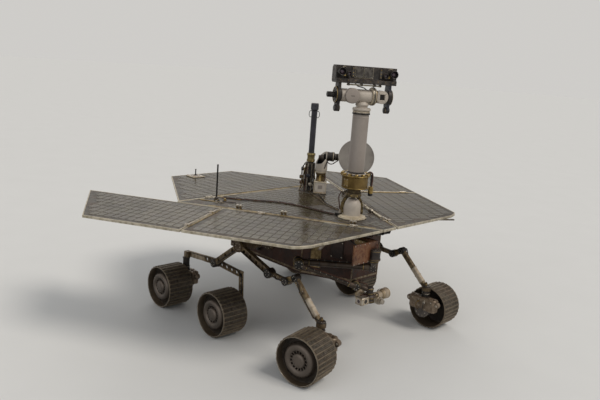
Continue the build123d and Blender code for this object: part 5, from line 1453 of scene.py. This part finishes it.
for e, h in ((-1, 1132), (1, 1130)):
    u = across_view * e
    tube(s, [u * 16 + rise(h + 20), u * 24 + rise(h + 23), u * 31 + rise(h + 12), u * 31 + rise(h - 6),
             u * 24 + rise(h - 16), u * 16 + rise(h - 14)], 1.9, BLACK, 10)
for u in map(heading, (0.3, 1.09, 1.87, 2.66, 3.45, 4.23, 5.02, 5.8)):
    side = (-u.y, u.x, 0)
    beam(s, u * 34 + rise(SEAT), u * 28 + rise(834), 4, 17, CHARCOAL, side, 0.8)
    beam(s, u * 36.4 + rise(SEAT), u * 30.4 + rise(834), 1.6, 2.6, TRIM, side, 0.3)
    for h, e in product(range(676, 821, 24), (-1, 1)):
        c = u * (36.2 - (h - 658) * 0.034) + Vector(side) * e * 5 + rise(h)
        s.lathe(c, u, [(2.6, -1), (2.6, 0.5), (1.6, 0.5), (1.4, -0.6)], BLACK, 12)
for h, r in ((700, 35), (742, 33.6), (784, 32), (826, 31)):
    s.lathe((0, 0, h), UPRIGHT, [(r - 9, 0), (r, 0.8), (r, 4), (r - 9, 5)], CHARCOAL, 36, closed=True)
for a, length in ((2.2, 58), (4.3, 62), (0.2, 56)):
    u = heading(a)
    rod(s, u * length + rise(SEAT + 4), u * 22 + rise(832), 3.2, OLIVE, 16)
    s.lathe(u * length + rise(SEAT), UPRIGHT, [(9, 0), (9, 3), (6, 4), (6, 9), (3, 10)], SILVER, 24)
for (a, r, h), mat in (((3.9, 44, 792), SLATE), ((4.1, 52, 742), BROWN), ((5.3, 46, 760), SLATE),
                       ((3.4, 54, 700), COPPER), ((5.6, 54, 706), SILVER)):
    u = heading(a)
    s.lathe(u * (r - 16) + rise(h), u, [(6, 0), (7, 2), (7, 10), (11, 12), (12, 15), (12, 24), (10, 27),
                                        (5, 28)], mat, 28)
    s.ring(u * (r - 2) + rise(h), u, 11.4, 1.0, GOLD, 28, 6)
for k, (a, r) in enumerate(((3.6, 42), (4.0, 47), (4.5, 41), (5.0, 46), (5.5, 43), (0.9, 44))):
    u = heading(a)
    tube(s, [u * 26 + rise(836 - 8 * k), u * r + rise(815 - 9 * k), u * (r + 5) + rise(760 - 6 * k),
             u * (r + 2) + rise(700), u * (r + 12) + rise(664)], 2.2 + 0.3 * (k % 3),
         (COPPER, BLACK, BRONZE)[k % 3], 10)
s.done("low_gain_look", "chassis", "low_gain_antenna")


# Whip antenna. A blackened rod stands on an insulated foot that is screwed to the bare corner of the deck;
# small fittings and flat bars are screwed down round it.

WX, WY, WHIP_TOP = DECK_REAR_X + 78.6, 213.0 - REAR_HALF, 861.0
s = Shape(Matrix.Translation((WX, WY, 0)))
s.lathe((0, 0, SEAT), UPRIGHT, [(14, 0), (15, 1), (15, 5), (12, 6), (11, 13), (7, 16), (5.2, 20), (4.6, 28),
                                (4.3, WHIP_TOP - SEAT - 8), (4.8, WHIP_TOP - SEAT - 6),
                                (4.8, WHIP_TOP - SEAT - 1.2), (3.6, WHIP_TOP - SEAT)], BLACK, 32)
s.ring((0, 0, SEAT + 8), UPRIGHT, 12, 1.2, BRONZE, 32, 6)
s.ring((0, 0, SEAT + 19), UPRIGHT, 5.6, 1.0, SILVER, 24, 6)
tube(s, [(6, -6, SEAT + 8), (24, -10, SEAT + 6), (60, 20, SEAT + 3), (110, 52, SEAT + 4)], 2.2, BLACK, 10)
for x, y, mat in ((44, -34, SILVER), (62, -16, SILVER), (-40, 30, BRONZE), (20, 44, GOLD)):
    s.lathe((x, y, SEAT - 0.4), UPRIGHT, [(9, 0), (9, 3), (7, 4), (7, 10), (5, 12), (2, 12.4)], mat, 28)
beam(s, (-52, -70, SEAT + 1.5), (66, 0, SEAT + 1.5), 3.5, 7, GOLD, (0.51, -0.86, 0), 0.8)
beam(s, (-60, 70, SEAT + 1.5), (58, 130, SEAT + 1.5), 3.5, 7, GOLD, (0.45, -0.89, 0), 0.8)
beam(s, (-66, -100, SEAT + 1.5), (-66, 210, SEAT + 1.5), 3.5, 6, TRIM, AHEAD, 0.8)
s.done("whip_look", "chassis", "whip_antenna")


# Colour target. A square painted plate with raised rings round a black post, and a colour patch in each
# corner; two screws hold it to the rear panel.

TX, TY = REAR_PANEL_X + 70.0, -107.0
s = Shape(Matrix.Translation((TX, TY, 0)))
box(s, (-45, -45, SEAT), (45, 45, SEAT + 7), IVORY, 2)
box(s, (-41, -41, SEAT + 6.6), (41, 41, SEAT + 8), WHITE, 0.8)
for r, mat in ((30, SAND), (23, WHITE), (16, CHARCOAL)):
    s.lathe((0, 0, SEAT + 7), UPRIGHT, [(r, 0), (r, (31 - r) * 0.14 + 1.4), (r - 1, (31 - r) * 0.14 + 2)],
            mat, 48)
s.lathe((0, 0, SEAT + 8), UPRIGHT, [(10, 0), (9, 4), (4.4, 7), (3.6, 14), (3.6, 38), (5.6, 39.4), (5.6, 41.4),
                                    (4, 42)], BLACK, 28)
for x, y, name, dark, light in ((-35, -35, "rust", "5c2a16", "7a3a20"),
                                (35, -35, "ochre", "8a6a28", "a8863a"), (35, 35, "green", "2f4a34", "3f6044"),
                                (-35, 35, "blue", "26344e", "36486a")):
    patch = [(x - 5, y - 5), (x + 5, y - 5), (x + 5, y + 5), (x - 5, y + 5)]
    prism(s, patch, (CENTRE, AHEAD, ASIDE), SEAT + 7.4, SEAT + 9, metal("dial_" + name, dark, light), 0.5)
for x in (-38, 38):
    s.bolt((x, 0, SEAT + 7.6), UPRIGHT, 2.2, SILVER)
s.done("colour_target_look", "rear_panel", "calibration_target")


# Arm mount. A deep bracket of machined plates bolts to the nose of the body and holds the drive that swings
# the arm from side to side.

SHOULDER, ELBOW = Vector((600, -70, 458)), Vector((352, -352, 466))
WRIST, TURRET = Vector((547, -130, 366)), Vector((594, -62, 323))
ALONG = Vector((ELBOW.x - SHOULDER.x, ELBOW.y - SHOULDER.y, 0)).normalized()
SIDE = Vector((-ALONG.y, ALONG.x, 0))
RUST = metal("rust_brown_paint", "3f2110", "65391f", (0.4, 0.6), 0.25, 12, 260, 0.1, 0.12, 0.3, "9c7c5a")
ARM = metal("arm_titanium", "282019", "483c32", (0.35, 0.55), 0.55, 20, 400, 0.12, 0.12, 0.4, "94836c")
sx, sy = SHOULDER.x, SHOULDER.y
base, top, out, inner = 497.0, 594.0, -43.0, -105.0

s = Shape()
prism(s, [(-222, 490), (-107, 490), (-103, 497), (-43, 497), (-43, 590), (-47, 594), (-218, 594),
          (-222, 590)], ((sx - 12, 0, 0), ASIDE, UPRIGHT), 0, 12, RUST, 2)
prism(s, [(-214, 498), (-112, 498), (-112, 586), (-214, 586)], ((sx, 0, 0), ASIDE, UPRIGHT), -1.4, 0.8, RUST,
      0.8)
screws(s, (sx - 0.4,), (-217, -180, -145, -110), (495, 589), AHEAD, 2.4, SILVER)
box(s, (500.3, out - 9, base + 12), (sx - 11, out, top), BRONZE, 2)
box(s, (500.3, inner, base + 12), (sx - 11, inner + 9, top), BRONZE, 2)
box(s, (500.3, inner, top - 8), (sx - 11, out, top), RUST, 2)
for x in (510, 530, 550, 570):
    s.bolt((x, out - 0.4, top - 12), ASIDE, 2.2, SILVER)
    s.bolt((x, (out + inner) / 2, top - 0.4), UPRIGHT, 2.2, SILVER)
    s.bolt((x, inner + 0.4, top - 12), OUTWARD, 2.2, SILVER)
for y, x in product((out - 9.9, inner - 0.9), (519, 545, 571)):
    s.lathe((x, y, 545), ASIDE, [(9, 0), (10, 0.6), (10, 10.2), (9, 10.8)], BLACK, 28)
s.lathe((sx + 8, sy, base), UPRIGHT, [(28, 0), (30, 1.4), (30, 12), (28, 13), (28, 44), (30, 45), (30, 56),
                                      (28.6, 58), (14, 58), (13, 61), (4, 61.6)], CHARCOAL, 56)
for h in (base + 6, base + 50):
    s.ring((sx + 8, sy, h), UPRIGHT, 30, 1.2, BRONZE, 56, 6)
s.bolts((sx + 8, sy, base + 57.4), UPRIGHT, 21, 8, 2.2, SILVER)
tube(s, [(sx + 8, sy + 12, base + 60), (sx + 4, sy + 22, base + 74), (sx - 16, sy + 20, base + 84),
         (sx - 40, sy + 22, base + 90)], 3, COPPER, 12)
tube(s, [(sx - 4, -200, 588), (sx - 8, -214, 600), (sx - 40, -214, 610), (520, -180, 612)], 3.2, BLACK, 12)
s.done("arm_mount_look", "chassis", "arm_mount")


# Arm. Two tubes of titanium joined by black drives with gold clamp rings; the forearm folds back beside the
# upper arm, and a flat harness is tied along both.


def joint_drive(s, a, b, r, mat):
    """Drive of a joint between a and b, with its clamp rings and end screws."""
    a, b = Vector(a), Vector(b)
    length, d = (b - a).length, (b - a).normalized()
    s.lathe(a, d, [(r * 0.5, -0.6), (r - 4, -0.6), (r - 3, 0), (r, 1.6), (r, 6), (r - 1.2, 7),
                   (r - 1.2, length - 7), (r, length - 6), (r, length - 1.6), (r - 3, length),
                   (r - 4, length - 1), (r * 0.5, length - 1), (r * 0.45, length)], mat, 48)
    for end, way in ((a, d), (b, -d)):
        s.ring(end + way * 4, d, r, 1.1, GOLD, 44, 6)
        s.bolts(end + way * 0.4, -way, r * 0.7, 6, 1.7, SILVER)


s = Shape()
t = base - 0.3
s.lathe((sx, sy, t - 14), UPRIGHT, [(26, 0), (29, 1.5), (29, 6), (27.6, 7), (27.6, 9.5), (29, 10.5), (29, 13),
                                    (27.6, 14)], CHARCOAL, 56)
s.ring((sx, sy, t - 5.4), UPRIGHT, 28.4, 1.2, GOLD, 56, 6)
rod(s, SHOULDER - SIDE * 29, SHOULDER + SIDE * 29, 9, SILVER, 28)
for e in (-1, 1):
    m = SHOULDER + SIDE * e * 25
    s.lathe(SHOULDER + SIDE * e * 21, SIDE * e, [(14, 0), (17, 0.6), (17, 7.4), (15, 8.2), (9, 8.2)],
            CHARCOAL, 40)
    beam(s, m, Vector((m.x, m.y, t - 8)), 29, 7.4, CHARCOAL, SIDE, 1.6)
    s.bolts(SHOULDER + SIDE * e * 28.8, SIDE * e, 12.4, 6, 1.6, SILVER)
s.done("arm_shoulder_look", "arm_shoulder", "arm_shoulder")

s = Shape()
hub = [(10.4, -20.7), (18, -20.7), (19, -19.6), (19, 19.6), (18, 20.7), (10.4, 20.7)]
s.lathe(SHOULDER, SIDE, hub, CHARCOAL, 44, closed=True)
reach = ELBOW - SHOULDER
d = reach.normalized()
s.lathe(SHOULDER + ALONG * 16, ELBOW - SHOULDER - ALONG * 16,
        [(14, 0), (19, 2), (19, 26), (17, 30), (15.6, 32), (15.6, 312), (17.4, 315), (19, 318), (19, 346),
         (16, 350)], ARM, 44)
for f in (0.13, 0.86):
    s.ring(SHOULDER + reach * f, d, 18.6, 1.4, GOLD, 40, 6)
joint_drive(s, ELBOW - SIDE * 24, ELBOW + SIDE * 26, 24, BLACK)
lift = rise(1)
line = [SHOULDER + reach * f + lift * 18.6 - SIDE * 5 for f in (0.1, 0.3, 0.5, 0.7, 0.88)]
clipped(s, line, 2.6, COPPER, 8, BLACK)
clipped(s, [p + SIDE * 7 for p in line], 2.2, BLACK, 8, TRIM)
for f in (0.28, 0.5, 0.72):
    s.lathe(SHOULDER + reach * f - d * 3, d, [(15.8, 0), (17.2, 0.8), (17.2, 5.2), (15.8, 6)], BLACK, 40,
            closed=True)
s.done("arm_upper_look", "arm_upper", "arm_upper")

s = Shape()
e1, w1 = ELBOW + SIDE * 42, WRIST + SIDE * 42
joint_drive(s, ELBOW + SIDE * 26.3, ELBOW + SIDE * 56, 24, BLACK)
joint_drive(s, WRIST + SIDE * 26.3, WRIST + SIDE * 54, 19, BLACK)
length = (w1 - e1).length
s.lathe(e1, w1 - e1, [(10, 0), (14, 4), (14, 40), (12, 44), (12, length - 44), (14, length - 40),
                      (14, length - 4), (10, length)], ARM, 40)
d = (w1 - e1).normalized()
for f in (0.13, 0.87):
    s.ring(e1.lerp(w1, f), d, 13.8, 1.3, GOLD, 36, 6)
line = [e1.lerp(w1, f) + lift * 13.4 + SIDE * 8 for f in (0.12, 0.32, 0.52, 0.72, 0.88)]
clipped(s, line, 2.4, COPPER, 8, BLACK)
clipped(s, [p - lift * 6 + SIDE * 5.6 for p in line], 2.0, BLACK, 8, TRIM)
s.done("arm_fore_look", "arm_fore", "arm_fore")

s = Shape()
joint_drive(s, WRIST - SIDE * 14, WRIST + SIDE * 26, 19, CHARCOAL)
reach = TURRET + rise(6) - WRIST
s.lathe(WRIST, reach, [(9, 0), (13, 4), (13, 24), (11.6, 26), (11.6, reach.length - 16),
                       (13, reach.length - 14), (13, reach.length)], ARM, 36)
s.lathe(TURRET - rise(12), UPRIGHT, [(17, 0), (19, 1.4), (19, 9), (17.6, 10), (17.6, 26), (19, 27), (19, 33),
                                     (14, 38), (6, 38.6)], CHARCOAL, 48)
for h in (-7, 18):
    s.ring(TURRET + rise(h), UPRIGHT, 18.8, 1.2, GOLD, 48, 6)
tube(s, [WRIST + SIDE * 8 + lift * 17, WRIST + lift * 22 + reach * 0.3, TURRET + Vector((-16, -8, 34)),
         TURRET + Vector((-19, -8, 14))], 2.6, COPPER, 12)
s.done("arm_wrist_look", "arm_wrist", "arm_wrist")


# Turret. Four instruments look out from a drum at the arm's end: a square camera with a bright lens ring, a
# flared cup, a two-stage grinder and a canister with a capped window.

s = Shape(Matrix.Translation((TURRET.x, TURRET.y, 0)))
high = TURRET.z - 12.3
low, mid = high - 44, high - 22
s.lathe(CENTRE, UPRIGHT, [(22, low), (24, low + 1), (33, low + 7), (34, low + 9), (34, low + 17),
                          (32.6, low + 18.5), (32.6, high - 18.5), (34, high - 17), (34, high - 9),
                          (33, high - 7), (23, high - 1), (22, high)], CHARCOAL, 64)
for h in (low + 13, high - 13):
    s.ring((0, 0, h), UPRIGHT, 34, 1.1, GOLD, 64, 6)
s.bolts((0, 0, low + 0.6), DOWN, 15, 6, 2.2, SILVER)
s.bolts((0, 0, high - 5.6), UPRIGHT, 30.5, 16, 1.6, SILVER)
s.lathe((0, 24, mid), ASIDE, [(18, 0), (22, 3), (22, 14), (20, 16), (20, 64), (22, 66), (22, 84), (24, 87),
                              (28, 91), (28, 117), (26.8, 118), (25.4, 117), (24, 104), (22, 101), (10, 101)],
        PALE, 56)
for y, r in ((33, 22.4), (44, 20.6), (88, 24), (96, 28.2), (138, 28)):
    s.ring((0, y, mid), ASIDE, r, 1.2, GOLD, 52, 6)
s.bolts((0, 124.4, mid), ASIDE, 15, 6, 2.0, SILVER)
s.lathe((24, 14, mid), AHEAD, [(15, 0), (19, 3), (19, 26), (17.4, 27.4), (17.4, 34), (19, 35.4), (19, 37),
                               (16, 38), (13, 38), (13, 50), (12, 51.4), (12, 55), (9, 56)], SILVER, 48)
for x in (32, 44, 54):
    s.ring((x, 14, mid), AHEAD, 18.8, 1.0, BRONZE, 44, 6)
s.bolts((60.4, 14, mid), AHEAD, 16, 6, 1.8, GOLD)
half = 20.0
box(s, (-half - 4, -82, mid - half), (half + 2, -26, mid + half), SILVER, 2.5)
box(s, (-half - 1, -83, mid - half + 3), (half - 1, -80, mid + half - 3), PALE, 0.8)
box(s, (half - 1, -76, mid - half + 4), (half + 2.8, -34, mid + half - 4), PALE, 0.8)
s.lathe((-1, -82.6, mid), OUTWARD, [(13, 0), (14.4, 0.8), (14.4, 2.4), (12.6, 2.6), (9.6, 1.6), (8, 0.2)],
        WHITE, 48)
s.lathe((-1, -82.6, mid), OUTWARD, [(9, 0), (7, 1), (3, 1.5), (0.8, 1.6)], LENS, 40)
screws(s, (half + 2.6,), (-71, -39), (mid - 13, mid + 13), AHEAD, 1.9, GOLD)
screws(s, (-18, 16), (-82.8,), (mid - 14, mid + 14), OUTWARD, 1.7, GOLD)
s.lathe((half + 2.6, -55, mid), AHEAD, [(11, 0), (11, 0.8), (9, 1.0), (7, 0.6)], CHARCOAL, 40)
s.lathe((-24, 0, mid), AFT, [(16, 0), (20, 3), (20, 22), (18.6, 24), (18.6, 36), (22, 38), (25, 39), (25, 50),
                             (23.6, 51.4), (12, 52)], PALE, 52)
for x in (-32, -44, -66, -72):
    s.ring((x, 0, mid), AFT, 20 if x > -50 else 24.8, 1.1, GOLD, 48, 6)
s.bolts((-75.4, 0, mid), AFT, 18, 8, 1.8, SILVER)
tube(s, [(16, -26, high - 8), (10, -44, high + 5), (-8, -52, high + 4), (-14, -60, mid + 19)], 2.4, COPPER,
     12)
tube(s, [(14, 26, high - 8), (22, 34, high + 5), (36, 26, high + 2), (40, 18, mid + 18)], 2.4, BLACK, 12)
s.done("arm_turret_look", "arm_turret", "arm_turret")


# Floor, soft light and the camera of the photograph. Three wide suns light the floor evenly; the camera's
# place was solved from the wheels, the deck's outline and the antennas.

world = bpy.data.worlds.new("studio")
bpy.context.scene.world = world
world.use_nodes = True
tree = world.node_tree
lit = tree.nodes["Background"]
lit.inputs["Color"].default_value = (0.96, 0.98, 1.0, 1)
lit.inputs["Strength"].default_value = 0.42
seen = tree.nodes.new("ShaderNodeBackground")
seen.inputs["Color"].default_value = (0.62, 0.607, 0.585, 1)
path, blend = tree.nodes.new("ShaderNodeLightPath"), tree.nodes.new("ShaderNodeMixShader")
looked = path.outputs["Is Camera Ray"]
for name in ("Is Glossy Ray", "Is Transmission Ray"):
    either = tree.nodes.new("ShaderNodeMath")
    either.operation = "MAXIMUM"
    tree.links.new(looked, either.inputs[0])
    tree.links.new(path.outputs[name], either.inputs[1])
    looked = either.outputs[0]
tree.links.new(looked, blend.inputs[0])
tree.links.new(lit.outputs[0], blend.inputs[1])
tree.links.new(seen.outputs[0], blend.inputs[2])
tree.links.new(blend.outputs[0], tree.nodes["World Output"].inputs["Surface"])

for name, spot, strength, soft, colour in (("key", (3.2, 1.0, 4.2), 1.55, 24, (1.0, 0.95, 0.88)),
                                           ("fill", (0.5, -4.2, 2.2), 0.6, 60, (0.95, 0.97, 1.0)),
                                           ("back", (-3.6, 2.4, 3.2), 0.5, 40, (1.0, 0.97, 0.92))):
    lamp = bpy.data.lights.new(name, "SUN")
    lamp.energy, lamp.angle, lamp.color = strength, radians(soft), colour
    sun = bpy.data.objects.new(name, lamp)
    bpy.context.scene.collection.objects.link(sun)
    sun.rotation_euler = Vector(spot).to_track_quat("Z", "Y").to_euler()

floor_mesh = bpy.data.meshes.new("floor")
floor_mesh.from_pydata([(-60, -60, 0), (60, -60, 0), (60, 60, 0), (-60, 60, 0)], [], [(0, 1, 2, 3)])
floor = bpy.data.objects.new("floor", floor_mesh)
floor.location.z = CAD_BOX[0][2] - 0.0005
bpy.context.scene.collection.objects.link(floor)
g = Finish("floor_paper")
g.bsdf.inputs["Specular IOR Level"].default_value = 0.0
floor_mesh.materials.append(g.made(g.mix(g.noise(3, 4), (0.63, 0.625, 0.61, 1), (0.66, 0.655, 0.64, 1)),
                                   0.95))

AZ, EL, ROLL, FOCAL = radians(44.72), radians(12.36), radians(4.24), 628.6
eye = Vector((2.457 + BASE / 1000, -2.498, 1.441))
back = Vector((sin(AZ) * cos(EL), -cos(AZ) * cos(EL), sin(EL)))
right = (-back).cross(rise(1)).normalized()
up = right.cross(-back)
across = right * cos(ROLL) + up * sin(ROLL)
upward = up * cos(ROLL) - right * sin(ROLL)
lens = bpy.data.cameras.new("camera")
FRAME_WIDTH, SENSOR = 600, 36.0
lens.sensor_width, lens.lens = SENSOR, FOCAL / FRAME_WIDTH * SENSOR
lens.clip_start, lens.clip_end = 0.05, 200
camera = bpy.data.objects.new("camera", lens)
bpy.context.scene.collection.objects.link(camera)
camera.matrix_world = Matrix((across, upward, back)).transposed().to_4x4()
camera.location = eye
bpy.context.scene.camera = camera
bpy.context.scene.view_settings.view_transform = "Standard"
